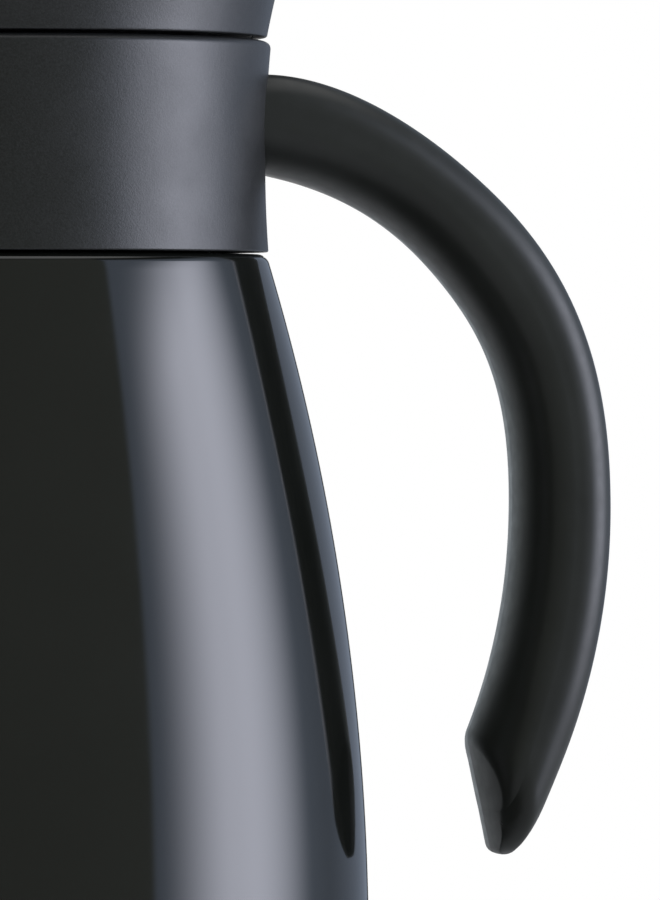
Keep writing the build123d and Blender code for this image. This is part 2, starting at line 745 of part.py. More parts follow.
# ---- stopper ----
with BuildPart() as stopper_plug:
    with BuildSketch(Plane.XZ):
        with BuildLine():
            Polyline(
                (VALVE_SEAT_R, PLUG_BOTTOM_Z),
                (PLUG_R - 1.0, PLUG_BOTTOM_Z),
                (PLUG_R, PLUG_BOTTOM_Z + 1.0),
                (PLUG_R, GROOVE_Z),
                (GROOVE_R, GROOVE_Z),
                (GROOVE_R, GROOVE_Z + GROOVE_H),
                (PLUG_R, GROOVE_Z + GROOVE_H),
                (PLUG_R, THREAD_FOOT_LOW_Z),
                (MALE_ROOT_R, THREAD_FOOT_HIGH_Z),
                (MALE_ROOT_R, PLUG_FLANGE_Z),
                (PLUG_FLANGE_R, PLUG_FLANGE_Z),
                (PLUG_FLANGE_R, PLUG_TOP_Z),
                (PLUG_BORE_R, PLUG_TOP_Z),
                (PLUG_BORE_R, PLUG_STEP_HIGH_Z),
                (PLUG_BORE_LOW_R, PLUG_STEP_LOW_Z),
                (PLUG_BORE_LOW_R, PLUG_BOTTOM_Z + PLUG_FLOOR),
                (TUBE_R + TUBE_WALL, PLUG_BOTTOM_Z + PLUG_FLOOR),
                (TUBE_R + TUBE_WALL, PLUG_TOP_Z),
                (TUBE_R, PLUG_TOP_Z),
                (TUBE_R, PLUG_BOTTOM_Z + PLUG_FLOOR),
                (VALVE_SEAT_R, PLUG_BOTTOM_Z + PLUG_FLOOR - 1.0),
                close=True,
            )
        make_face()
    revolve(axis=Axis.Z)
    # Screw bosses on the wall
    with BuildSketch(Plane.XY.offset(PLUG_TOP_Z)):
        with PolarLocations(SCREW_CIRCLE_R, 3):
            Circle(SCREW_BOSS_R)
    extrude(amount=-SCREW_BOSS_H)
    with BuildSketch(Plane.XY.offset(PLUG_TOP_Z)):
        with PolarLocations(SCREW_CIRCLE_R, 3):
            Circle(SCREW_CORE_R)
    extrude(amount=-14.0, mode=Mode.SUBTRACT)
    with PolarLocations(0, STARTS):
        add(thread_ridge(MALE_ROOT_R, MALE_CREST_R, MALE_Z))
finish(stopper_plug.part, "stopper_plug")

with BuildPart() as stopper_gasket:
    with BuildSketch(Plane.XZ):
        with BuildLine():
            low_z = GROOVE_Z + RUN_GAP
            high_z = GROOVE_Z + GROOVE_H - RUN_GAP
            mid_z = (low_z + high_z) / 2
            Polyline(
                (PLUG_R, high_z),
                (GROOVE_R + RUN_GAP, high_z),
                (GROOVE_R + RUN_GAP, low_z),
                (PLUG_R, low_z),
            )
            ThreePointArc((PLUG_R, low_z), (NECK_R - RUN_GAP, mid_z), (PLUG_R, high_z))
        make_face()
    revolve(axis=Axis.Z)
finish(stopper_gasket.part, "stopper_gasket")

# ---- lid ----
loft_heights = (LID_BOTTOM_Z, 210.0, LIP_START_Z, 216.0, 220.0, 224.0, LID_RIM_Z)
trough_heights = (LIP_START_Z, 216.0, 220.0, 224.0, LID_RIM_Z)

# Space between the channel's walls, out to the inside of the lip
with BuildPart() as trough:
    add(lip_loft(LID_WALL, trough_heights))
    with BuildSketch(Plane.XY.offset(LIP_START_Z)):
        with Locations((-55.0, 0)):
            Rectangle(30.0, 2 * CHANNEL_HALF)
    extrude(amount=LID_RIM_Z - LIP_START_Z, mode=Mode.INTERSECT)

with BuildPart() as lid_shell:
    add(lip_loft(0, loft_heights))
    # Recess for the plug's flange, below the deck
    with BuildSketch(Plane.XY.offset(LID_BOTTOM_Z)):
        Circle(PLUG_FLANGE_R + 0.2)
    extrude(amount=PLUG_TOP_Z - LID_BOTTOM_Z, mode=Mode.SUBTRACT)
    # Bowl above the deck, with a shelf that the top cover rests on
    with BuildSketch(Plane.XZ):
        with BuildLine():
            bowl_bottom = (lid_radius(DECK_TOP_Z) - LID_WALL, DECK_TOP_Z)
            shelf_under = (lid_radius(SHELF_UNDER_Z) - LID_WALL, SHELF_UNDER_Z)
            shelf_r = lid_radius(COVER_SEAT_Z) - LID_WALL - SHELF_REACH
            shelf_low = (shelf_r, COVER_SEAT_Z - SHELF_T)
            shelf_top = (lid_radius(COVER_SEAT_Z) - LID_WALL, COVER_SEAT_Z)
            rim = (lid_radius(LID_RIM_Z) - LID_WALL, LID_RIM_Z)
            Polyline(
                (0, DECK_TOP_Z),
                bowl_bottom,
                shelf_under,
                shelf_low,
                (shelf_low[0], COVER_SEAT_Z),
                shelf_top,
                rim,
                (0, LID_RIM_Z),
                close=True,
            )
        make_face()
    revolve(axis=Axis.Z, mode=Mode.SUBTRACT)
    # Pour channel: two walls from the well to the lip
    with BuildSketch(Plane.XY.offset(DECK_TOP_Z)):
        Circle(WELL_R + WELL_WALL)
        for side in (-1, 1):
            with Locations((-25.0, side * (CHANNEL_HALF + CHANNEL_WALL / 2))):
                Rectangle(30.0, CHANNEL_WALL)
        Circle(WELL_R, mode=Mode.SUBTRACT)
        with Locations((-10.0, 0)):
            Rectangle(20.0, 2 * CHANNEL_HALF, mode=Mode.SUBTRACT)
    extrude(amount=CHANNEL_COVER_Z - DECK_TOP_Z)
    with BuildSketch(Plane.XY.offset(DECK_TOP_Z)):
        for side in (-1, 1):
            wall_x = -(NOTCH_X + CHANNEL_END_X) / 2
            with Locations((wall_x, side * (CHANNEL_HALF + CHANNEL_WALL / 2))):
                Rectangle(CHANNEL_END_X - NOTCH_X, CHANNEL_WALL)
    extrude(amount=COVER_SEAT_Z - DECK_TOP_Z)
    # Open the lip and clear the shelf between the channel's walls
    add(trough.part, mode=Mode.SUBTRACT)
    # Valve tube opening and screw holes in the deck
    with BuildSketch(Plane.XY.offset(DECK_TOP_Z)):
        Circle(TUBE_R)
        with PolarLocations(SCREW_CIRCLE_R, 3):
            Circle(SCREW_CORE_R + 0.25)
    extrude(amount=-(DECK_TOP_Z - PLUG_TOP_Z), mode=Mode.SUBTRACT)
finish(lid_shell.part, "lid_shell")

with BuildPart() as plug_screws:
    with BuildSketch(Plane.XY.offset(DECK_TOP_Z)):
        with PolarLocations(SCREW_CIRCLE_R, 3):
            Circle(2.7)
    extrude(amount=2.0)
    fillet(plug_screws.edges().group_by(Axis.Z)[-1], 0.8)
    with BuildSketch(Plane.XY.offset(DECK_TOP_Z + 2.0)):
        with PolarLocations(SCREW_CIRCLE_R, 3):
            Rectangle(3.0, 0.6)
            Rectangle(0.6, 3.0)
    extrude(amount=-1.0, mode=Mode.SUBTRACT)
    with BuildSketch(Plane.XY.offset(DECK_TOP_Z)):
        with PolarLocations(SCREW_CIRCLE_R, 3):
            Circle(SCREW_CORE_R)
    extrude(amount=-13.0)
finish(plug_screws.part, "plug_screws")

# Cover of the pour channel, with the valve stem's guide
with BuildPart() as channel_cover:
    with BuildSketch(Plane.XY.offset(CHANNEL_COVER_Z)):
        Circle(WELL_R + WELL_WALL)
        with Locations((-NOTCH_X / 2, 0)):
            Rectangle(NOTCH_X, 2 * (CHANNEL_HALF + CHANNEL_WALL))
    extrude(amount=CHANNEL_COVER_T)
    with BuildSketch(Plane.XY.offset(CHANNEL_COVER_Z)):
        with Locations((-NOTCH_X + CHANNEL_WALL / 2, 0)):
            Rectangle(CHANNEL_WALL, 2 * (CHANNEL_HALF + CHANNEL_WALL))
    extrude(amount=COVER_SEAT_Z - CHANNEL_COVER_Z)
    with BuildSketch(Plane.XY.offset(CHANNEL_COVER_Z)):
        Circle(GUIDE_R)
    extrude(amount=GUIDE_TOP_Z - CHANNEL_COVER_Z)
    with BuildSketch(Plane.XY.offset(CHANNEL_COVER_Z)):
        Circle(STEM_R + RUN_GAP)
    extrude(amount=GUIDE_TOP_Z - CHANNEL_COVER_Z, mode=Mode.SUBTRACT)
    with BuildSketch(Plane.XY.offset(CHANNEL_COVER_Z)):
        Circle(SEAL_R)
    extrude(amount=SEAL_H, mode=Mode.SUBTRACT)
finish(channel_cover.part, "channel_cover")

with BuildPart() as stem_seal:
    with BuildSketch(Plane.XZ):
        with Locations(((SEAL_R + STEM_R + RUN_GAP) / 2, CHANNEL_COVER_Z + SEAL_H / 2)):
            Circle((SEAL_R - STEM_R - RUN_GAP) / 2)
    revolve(axis=Axis.Z)
finish(stem_seal.part, "stem_seal")

# Domed cover inside the lid's rim, open above the lip's trough
cover_edge = (COVER_R, COVER_SEAT_Z + COVER_T)
cover_crown = (BUTTON_HOLE_R, DOME_CROWN_Z)
hub_r = BUTTON_HOLE_R + HUB_WALL
with BuildPart() as lid_top_cover:
    with BuildSketch(Plane.XZ):
        with BuildLine():
            ThreePointArc(cover_edge, DOME_MID, cover_crown)
            Polyline(
                cover_crown,
                (BUTTON_HOLE_R, HUB_BOTTOM_Z),
                (hub_r, HUB_BOTTOM_Z),
                (hub_r, DOME_CROWN_Z - COVER_T),
            )
            ThreePointArc(
                (hub_r, DOME_CROWN_Z - COVER_T),
                (DOME_MID[0], DOME_MID[1] - COVER_T),
                (COVER_R, COVER_SEAT_Z),
            )
            Line((COVER_R, COVER_SEAT_Z), cover_edge)
        make_face()
    revolve(axis=Axis.Z)
    # Down-turned wall round the pour opening
    with BuildSketch(Plane.XY.offset(COVER_SEAT_Z)):
        with Locations((-(NOTCH_X + NOTCH_WALL_X - CHANNEL_WALL) / 2, 0)):
            wall_length = NOTCH_WALL_X - NOTCH_X + CHANNEL_WALL
            Rectangle(wall_length, 2 * (CHANNEL_HALF + CHANNEL_WALL))
    extrude(amount=COVER_T)
    with BuildSketch(Plane.XY.offset(COVER_SEAT_Z)):
        with Locations((-NOTCH_X - 10.0, 0)):
            Rectangle(20.0, 2 * CHANNEL_HALF)
    extrude(amount=10.0, mode=Mode.SUBTRACT)
    # Seat of the trim ring
    with BuildSketch(Plane.XY.offset(TRIM_Z)):
        Circle(TRIM_R)
    extrude(amount=4.0, mode=Mode.SUBTRACT)
finish(lid_top_cover.part, "lid_top_cover")

with BuildPart() as button_trim_ring:
    with BuildSketch(Plane.XZ):
        with BuildLine():
            trim_edge = (TRIM_R, DOME_CROWN_Z)
            trim_inner = (BUTTON_HOLE_R, TRIM_INNER_Z)
            Polyline(trim_edge, (TRIM_R, TRIM_Z), (BUTTON_HOLE_R, TRIM_Z), trim_inner)
            ThreePointArc(trim_inner, TRIM_CROWN, trim_edge)
        make_face()
    revolve(axis=Axis.Z)
finish(button_trim_ring.part, "button_trim_ring")

# ---- push button and valve ----
button_under_z = BUTTON_TOP_Z - BUTTON_CROWN
with BuildPart() as push_button:
    with BuildSketch(Plane.XZ):
        with BuildLine():
            Line((0, button_under_z), (0, BUTTON_TOP_Z - DISH_DEPTH))
            ThreePointArc(
                (0, BUTTON_TOP_Z - DISH_DEPTH),
                (8.0, BUTTON_TOP_Z - 0.68),
                (DISH_R, BUTTON_TOP_Z),
            )
            Polyline(
                (DISH_R, BUTTON_TOP_Z),
                (BUTTON_R, BUTTON_TOP_Z),
                (BUTTON_R, BUTTON_SKIRT_Z),
                (BUTTON_R - BUTTON_WALL, BUTTON_SKIRT_Z),
                (BUTTON_R - BUTTON_WALL, button_under_z),
                (0, button_under_z),
            )
        button_profile = make_face()
        fillet(button_profile.vertices().sort_by_distance((BUTTON_R, BUTTON_TOP_Z))[0], BUTTON_ROUND)
    revolve(axis=Axis.Z)
    with BuildSketch(Plane.XY.offset(STEM_BOSS_Z)):
        Circle(STEM_BOSS_R)
    extrude(amount=button_under_z - STEM_BOSS_Z)
    with BuildSketch(Plane.XY.offset(STEM_BOSS_Z)):
        Circle(STEM_R)
    extrude(amount=STEM_TOP_Z - STEM_BOSS_Z, mode=Mode.SUBTRACT)
finish(push_button.part, "push_button")

disc_top = PLUG_BOTTOM_Z - VALVE_GAP - GASKET_T
stem_foot = disc_top + DISC_BOSS_H
with BuildPart() as valve_stem:
    with BuildSketch(Plane.XY.offset(stem_foot)):
        Circle(STEM_R)
    extrude(amount=STEM_TOP_Z - stem_foot)
    with BuildSketch(Plane.XY.offset(stem_foot)):
        Circle(SCREW_CORE_R)
    extrude(amount=8.0, mode=Mode.SUBTRACT)
    chamfer(valve_stem.edges().group_by(Axis.Z)[-1], 0.4)
finish(valve_stem.part, "valve_stem")

with BuildPart() as valve_disc:
    with BuildSketch(Plane.XY.offset(disc_top - DISC_T)):
        Circle(VALVE_R + 0.4)
    extrude(amount=DISC_T)
    fillet(valve_disc.edges().group_by(Axis.Z)[0], 0.8)
    with BuildSketch(Plane.XY.offset(disc_top)):
        Circle(VALVE_GASKET_R - 0.1)
    extrude(amount=DISC_BOSS_H)
    with BuildSketch(Plane.XY.offset(disc_top - DISC_T)):
        Circle(SCREW_CORE_R + 0.15)
    extrude(amount=DISC_T + DISC_BOSS_H, mode=Mode.SUBTRACT)
finish(valve_disc.part, "valve_disc")

with BuildPart() as valve_gasket:
    with BuildSketch(Plane.XY.offset(disc_top)):
        Circle(VALVE_R)
        Circle(VALVE_GASKET_R, mode=Mode.SUBTRACT)
    extrude(amount=GASKET_T)
finish(valve_gasket.part, "valve_gasket")

with BuildPart() as valve_screw:
    with BuildSketch(Plane.XY.offset(disc_top - DISC_T)):
        Circle(3.0)
    extrude(amount=-1.8)
    fillet(valve_screw.edges().group_by(Axis.Z)[0], 0.7)
    with BuildSketch(Plane.XY.offset(disc_top - DISC_T)):
        Circle(SCREW_CORE_R)
    extrude(amount=9.0)
finish(valve_screw.part, "valve_screw")

# Coil between the channel cover and the button's underside
spring_low = CHANNEL_COVER_Z + CHANNEL_COVER_T + SPRING_WIRE_R + 0.05
spring_high = button_under_z - SPRING_WIRE_R - 0.05
spring_rise = spring_high - spring_low
with BuildPart() as button_spring:
    with BuildLine(Plane.XY.offset(spring_low)):
        coil = Helix(pitch=spring_rise / SPRING_TURNS, height=spring_rise, radius=SPRING_R)
    with BuildSketch(Plane(origin=coil @ 0, x_dir=(1, 0, 0), z_dir=coil % 0)):
        Circle(SPRING_WIRE_R)
    sweep(is_frenet=True)
finish(button_spring.part, "button_spring")
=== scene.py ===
import json
from math import acos, atan2, cos, hypot, pi, radians, sin, sqrt, tan

import bmesh
import bpy
from mathutils import Matrix, Vector


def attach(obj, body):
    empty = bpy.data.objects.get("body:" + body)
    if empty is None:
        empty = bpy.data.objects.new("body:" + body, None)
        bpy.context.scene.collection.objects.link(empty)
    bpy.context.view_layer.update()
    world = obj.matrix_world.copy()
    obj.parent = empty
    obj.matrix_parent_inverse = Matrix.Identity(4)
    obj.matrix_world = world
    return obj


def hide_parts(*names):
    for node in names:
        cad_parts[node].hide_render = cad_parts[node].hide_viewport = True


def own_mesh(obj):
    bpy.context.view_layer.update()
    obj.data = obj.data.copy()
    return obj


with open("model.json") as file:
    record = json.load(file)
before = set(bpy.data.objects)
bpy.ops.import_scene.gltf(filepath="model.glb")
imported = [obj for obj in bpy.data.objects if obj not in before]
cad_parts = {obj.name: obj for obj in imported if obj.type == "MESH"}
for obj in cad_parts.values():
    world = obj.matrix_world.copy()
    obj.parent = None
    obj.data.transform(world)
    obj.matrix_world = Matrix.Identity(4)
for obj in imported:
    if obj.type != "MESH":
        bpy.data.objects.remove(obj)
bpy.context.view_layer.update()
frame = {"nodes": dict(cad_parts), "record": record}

# Looks of the vacuum carafe: smooth meshes for what shows, procedural materials
# for every piece, and a white studio. Shapes are written in millimetres in the
# CAD frame (+Z up, handle at +X, pouring lip at -X) and made in metres.
MM = 0.001
SEGMENTS = 192
FINE_SEGMENTS = 256
SMALL_SEGMENTS = 96
PIN_SEGMENTS = 64

# ---- driving dimensions, the same as in the CAD model ----
BODY_R = 68.5
WIDEST_Z = 34.0
BODY_ARC = 455.0
SHEET = 0.6
SHELL_BOTTOM_Z = 9.6
SHELL_FOOT_R = 64.7
SHELL_FOOT_OPENING_R = 61.0
SHOULDER_Z = 165.2
NECK_OUTER_R = 38.6
NECK_TOP_Z = 190.0
FLASK_GAP = 5.6
FLASK_BOTTOM_Z = 15.0
FLASK_SHOULDER_Z = 151.0
NECK_R = 34.0
PAD_R = 54.6
PAD_H = 2.0
BASE_BOTTOM_Z = 0.8
BASE_TOP_Z = 9.2
COLLAR_BOTTOM_Z = 165.6
COLLAR_TOP_Z = 205.5
COLLAR_SIDE_TOP_Z = 203.9
COLLAR_BOTTOM_R = 49.5
COLLAR_WAIST_R = 48.9
COLLAR_WAIST_Z = 182.0
COLLAR_TOP_R = 49.9
COLLAR_WALL = 2.4
SLEEVE_R = 41.2
SLEEVE_BOTTOM_Z = 168.0
SOCKET_R = 41.0
LEAD = 24.0
STARTS = 3
MOUTH_RING_BOTTOM_Z = 191.2
MOUTH_RING_TOP_Z = 205.0
MOUTH_R = 36.8
FEMALE_CREST_R = 35.6
MALE_ROOT_R = 35.0
MALE_CREST_R = 36.4
RIDGE_TURN = 80.0
RIDGE_BASE = 2.4
RIDGE_CREST = 1.6
RIDGE_ROOT_DEPTH = 0.4
RIDGE_STEPS = 48
RIDGE_RUN_IN = 7  # the ridge is full high after one seventh of its turn
FEMALE_Z = 196.5
MALE_Z = 193.7
PLUG_R = 33.2
PLUG_BOTTOM_Z = 172.0
PLUG_FLANGE_Z = 206.3
PLUG_TOP_Z = 208.6
PLUG_FLANGE_R = 46.6
PLUG_WALL_TOP_Z = 190.7
PLUG_FLOOR = 2.4
GROOVE_R = 31.0
GROOVE_Z = 175.0
GROOVE_H = 4.2
RUN_GAP = 0.06
TUBE_R = 10.0
VALVE_SEAT_R = 9.0
SCREW_CIRCLE_R = 27.8
SCREW_CORE_R = 1.25
SCREW_BOSS_R = 3.4
SCREW_BOSS_H = 24.0
SCREW_HOLE_DEPTH = 14.0
LID_BOTTOM_Z = 206.1
LID_RIM_Z = 228.0
LID_BOTTOM_R = 49.2
LID_SLOPE = 0.19
LID_FLARE = 170.0
LID_WALL = 2.4
RIM_H = 1.1
LIP_START_Z = 213.0
LIP_REACH = 8.0
LIP_SHARPNESS = 40
DECK_TOP_Z = 210.4
CHANNEL_HALF = 11.0
CHANNEL_WALL = 1.8
CHANNEL_COVER_Z = 217.0
CHANNEL_COVER_T = 2.0
STEM_GUIDE_TOP_Z = 221.0
NOTCH_X = 38.0
WELL_R = 14.0
COVER_R = 51.0
COVER_SEAT_Z = 224.0
COVER_T = 2.2
COVER_CROWN_Z = 231.4
COVER_COLLAR_Z = 222.0
BUTTON_HOLE_R = 17.4
BUTTON_R = 17.0
BUTTON_TOP_Z = 236.8
BUTTON_SKIRT_Z = 225.0
BUTTON_WALL = 1.6
BUTTON_TOP_T = 2.6
DISH_R = 15.4
TRIM_R = 20.6
TRIM_Z = 230.4
STEM_R = 2.5
STEM_TOP_Z = 232.0
STEM_INTO_DISC = 1.5
VALVE_R = 12.0
VALVE_T = 2.0
VALVE_SEAL_T = 1.8
VALVE_SEAL_INNER_R = 6.5
SPRING_R = 8.0
SPRING_WIRE_R = 0.55
SPRING_TURNS = 5
SPRING_PLAY = 0.05
HANDLE_HALF = 15.0
HANDLE_EDGE = 6.0  # radius of the outer side's edges
ROLL_DEPTH = 8.5  # the inner side is a half ellipse this deep
ROLL_BULGE = 1.8  # and stands this far inside the side outline
HANDLE_WALL = 2.4
HANDLE_CORE_X = 61.0  # the hollow starts here
HANDLE_SCREW_Y = 6.0
HANDLE_SCREW_Z = 190.4
HEAD_X = 45.8
VALVE_TOP_Z = PLUG_BOTTOM_Z - 0.1 - VALVE_SEAL_T

record = frame["record"]
body_of = {n: body for body, nodes in record["behaviour"]["bodies"].items() for n in nodes}
slot_of = {part["node"]: part["material_slot"] for part in record["subparts"]}


# ---- outlines: lists of (radius, height) points ----
def spread_arc(centre, first, final, turn, steps):
    """Points about a centre from one spoke to another, both ends included."""
    points = []
    for step in range(steps + 1):
        share = step / steps
        spoke = (first * sin((1 - share) * turn) + final * sin(share * turn)) / sin(turn)
        points.append(tuple(centre + spoke))
    return points


def rounded(corners, closed=True, steps=5):
    """Outline through the corners; a corner's third value is its rounding radius."""
    outline = []
    last = len(corners) - 1
    for index, corner in enumerate(corners):
        here = Vector(corner[:2])
        radius = corner[2] if len(corner) > 2 else 0.0
        if radius == 0.0 or (not closed and index in (0, last)):
            outline.append(tuple(here))
            continue
        back = (Vector(corners[index - 1][:2]) - here).normalized()
        ahead = (Vector(corners[(index + 1) % len(corners)][:2]) - here).normalized()
        half = back.angle(ahead) / 2
        centre = here + (back + ahead).normalized() * radius / sin(half)
        first = here + back * radius / tan(half) - centre
        final = here + ahead * radius / tan(half) - centre
        outline += spread_arc(centre, first, final, pi - 2 * half, steps)
    return outline


def circle_of(start, middle, end):
    """Centre and radius of the circle through three points."""
    a, b, c = Vector(start), Vector(middle), Vector(end)
    ab, ac = b - a, c - a
    twice = 2 * (ab.x * ac.y - ab.y * ac.x)
    x = (ac.y * ab.length_squared - ab.y * ac.length_squared) / twice
    y = (ab.x * ac.length_squared - ac.x * ab.length_squared) / twice
    return (a.x + x, a.y + y), hypot(x, y)


def arc_through(start, middle, end, steps):
    """Points of the circular arc through three points, both ends included."""
    centre = Vector(circle_of(start, middle, end)[0])
    first, final = Vector(start) - centre, Vector(end) - centre
    return spread_arc(centre, first, final, first.angle(final), steps)


def bezier(p0, p1, p2, p3, steps):
    """Points of a cubic Bezier curve, both ends included."""
    points = []
    for step in range(steps + 1):
        t = step / steps
        weights = ((1 - t) ** 3, 3 * t * (1 - t) ** 2, 3 * t**2 * (1 - t), t**3)
        points.append(
            tuple(sum(w * p[axis] for w, p in zip(weights, (p0, p1, p2, p3))) for axis in (0, 1))
        )
    return points


def side_arc(widest_r, height):
    """Radius at a height of a wall whose widest radius lies at WIDEST_Z."""
    return widest_r - BODY_ARC + sqrt(BODY_ARC**2 - (height - WIDEST_Z) ** 2)


def foot_curve(foot, widest, steps):
    """Arc from the foot up to the widest place, where it stands upright."""
    inset = widest[0] - foot[0]
    rise = widest[1] - foot[1]
    radius = (inset**2 + rise**2) / (2 * inset)
    heights = [foot[1] + rise * step / steps for step in range(1, steps + 1)]
    return [(widest[0] - radius + sqrt(radius**2 - (widest[1] - z) ** 2), z) for z in heights]


def long_side(widest_r, top, steps):
    """Long side curve from just above the widest place up to a height."""
    heights = [WIDEST_Z + (top - WIDEST_Z) * step / steps for step in range(1, steps + 1)]
    return [(side_arc(widest_r, z), z) for z in heights]


def offset_curve(points, distance, side):
    """The curve moved sideways: side is 1 to its left, -1 to its right."""
    moved = []
    for index, point in enumerate(points):
        before = Vector(points[max(index - 1, 0)])
        after = Vector(points[min(index + 1, len(points) - 1)])
        along = (after - before).normalized() * distance * side
        moved.append((point[0] - along.y, point[1] + along.x))
    return moved


def thickened(midline, thickness):
    """Closed outline of a wall of even thickness about a midline."""
    half = thickness / 2
    return offset_curve(midline, half, 1) + offset_curve(midline, half, -1)[::-1]


# ---- mesh making ----
def make_mesh(name, vertices, faces):
    """Object from points in millimetres, with its faces outwards."""
    mesh = bpy.data.meshes.new(name)
    mesh.from_pydata([(x * MM, y * MM, z * MM) for x, y, z in vertices], [], faces)
    tidy = bmesh.new()
    tidy.from_mesh(mesh)
    bmesh.ops.remove_doubles(tidy, verts=tidy.verts, dist=1e-7)
    bmesh.ops.recalc_face_normals(tidy, faces=tidy.faces)
    tidy.to_mesh(mesh)
    tidy.free()
    piece = bpy.data.objects.new(name, mesh)
    bpy.context.scene.collection.objects.link(piece)
    return piece


def join_rows(rows, faces, first, second):
    """Quads, or triangles to a pole, between two rings of vertex numbers."""
    a, b = rows[first], rows[second]
    count = max(len(a), len(b))
    if len(a) == 1 and len(b) == 1:
        return
    for index in range(count):
        ahead = (index + 1) % count
        if len(a) == 1:
            faces.append((a[0], b[ahead], b[index]))
        elif len(b) == 1:
            faces.append((a[index], a[ahead], b[0]))
        else:
            faces.append((a[index], a[ahead], b[ahead], b[index]))


def swept(name, rows, vertices):
    """Closed solid from rows of vertex numbers, one ring after another."""
    faces = []
    for index in range(len(rows) - 1):
        join_rows(rows, faces, index, index + 1)
    faces.append(tuple(rows[0]))
    faces.append(tuple(rows[-1]))
    return make_mesh(name, vertices, faces)


def lathe(name, outline, segments=SEGMENTS, reach=None):
    """Closed surface of revolution about Z.

    The outline is a closed loop, or runs from axis to axis. A point's third value
    scales reach(angle), which is added to its radius.
    """
    vertices, rows = [], []
    for point in outline:
        radius, height = point[:2]
        grown = point[2] if len(point) > 2 else 0.0
        if radius < 1e-6:
            rows.append([len(vertices)])
            vertices.append((0.0, 0.0, height))
            continue
        rows.append(list(range(len(vertices), len(vertices) + segments)))
        for index in range(segments):
            angle = 2 * pi * index / segments
            far = radius + (grown * reach(angle) if reach and grown else 0.0)
            vertices.append((far * cos(angle), far * sin(angle), height))
    faces = []
    for index in range(len(rows) - 1):
        join_rows(rows, faces, index, index + 1)
    join_rows(rows, faces, len(rows) - 1, 0)
    return make_mesh(name, vertices, faces)


def between(name, low, high):
    """Solid between two like rings of points."""
    count = len(low)
    sides = [(i, (i + 1) % count, count + (i + 1) % count, count + i) for i in range(count)]
    ends = [tuple(range(count)), tuple(range(count, 2 * count))]
    return make_mesh(name, low + high, sides + ends)


def prism(name, outline, low, high):
    """Upright solid with a flat outline in X and Y."""
    return between(name, [(x, y, low) for x, y in outline], [(x, y, high) for x, y in outline])


def box_outline(x0, x1, y0, y1, radius=0.0):
    """Rectangle in X and Y, with rounded corners."""
    return rounded([(x, y, radius) for x, y in ((x0, y0), (x1, y0), (x1, y1), (x0, y1))])


def circle_outline(x, y, radius, count=32):
    """Circle in X and Y."""
    turns = [2 * pi * index / count for index in range(count)]
    return [(x + radius * cos(turn), y + radius * sin(turn)) for turn in turns]


def cross_pin(y, z, radius, x0, x1):
    """Cylinder along X, as a tool for holes and pads on the collar."""
    ring = circle_outline(y, z, radius)
    return between("pin", [(x0, a, b) for a, b in ring], [(x1, a, b) for a, b in ring])


def apply_modifiers(piece):
    """Turns the piece's modifiers into mesh."""
    bpy.context.view_layer.update()
    graph = bpy.context.evaluated_depsgraph_get()
    made = bpy.data.meshes.new_from_object(piece.evaluated_get(graph))
    piece.modifiers.clear()
    piece.data = made


def combine(piece, tool, operation):
    """Exact boolean of a piece with a tool, which is then deleted."""
    change = piece.modifiers.new("change", "BOOLEAN")
    change.operation = operation
    change.object = tool
    change.solver = "EXACT"
    apply_modifiers(piece)
    bpy.data.objects.remove(tool)


def weld_prism(piece, outline, low, high):
    """Adds an upright solid to a piece."""
    combine(piece, prism("tool", outline, low, high), "UNION")


def cut_prism(piece, outline, low, high):
    """Takes an upright solid out of a piece."""
    combine(piece, prism("tool", outline, low, high), "DIFFERENCE")


def thread_ridge(root_r, crest_r, low_z, start_angle):
    """Helical ridge that swells up from the wall and runs out again."""
    height = crest_r - root_r
    sunk = -RIDGE_ROOT_DEPTH if height > 0 else RIDGE_ROOT_DEPTH
    rows, vertices = [], []
    for step in range(RIDGE_STEPS + 1):
        share = step / RIDGE_STEPS
        swell = min(1.0, RIDGE_RUN_IN * share, RIDGE_RUN_IN * (1 - share))
        swell = max(0.04, swell * swell * (3 - 2 * swell))
        angle = start_angle + radians(RIDGE_TURN) * share
        middle = low_z + LEAD * RIDGE_TURN / 360 * share
        section = (
            (sunk, -RIDGE_BASE / 2),
            (0.0, -RIDGE_BASE / 2 + 0.1),
            (0.8 * height * swell, -RIDGE_CREST / 2 - 0.1),
            (height * swell, -RIDGE_CREST / 2 + 0.3),
            (height * swell, RIDGE_CREST / 2 - 0.3),
            (0.8 * height * swell, RIDGE_CREST / 2 + 0.1),
            (0.0, RIDGE_BASE / 2 - 0.1),
            (sunk, RIDGE_BASE / 2),
        )
        rows.append(list(range(len(vertices), len(vertices) + len(section))))
        for out, up in section:
            radius = root_r + out
            vertices.append((radius * cos(angle), radius * sin(angle), middle + up))
    return swept("ridge", rows, vertices)


def add_thread(piece, root_r, crest_r, low_z):
    """Three ridges on a threaded wall."""
    for start in range(STARTS):
        ridge = thread_ridge(root_r, crest_r, low_z, 2 * pi * start / STARTS)
        combine(piece, ridge, "UNION")


# ---- materials ----
class NodeTree:
    """A node tree, with short calls that make nodes and fill their sockets."""

    def node(self, kind, **settings):
        made = self.tree.nodes.new(kind)
        for name, value in settings.items():
            setattr(made, name, value)
        return made

    def put(self, value, socket):
        """Sets a plain value on a socket, or links another node's output to it."""
        if isinstance(value, bpy.types.NodeSocket):
            self.tree.links.new(value, socket)
        else:
            socket.default_value = value


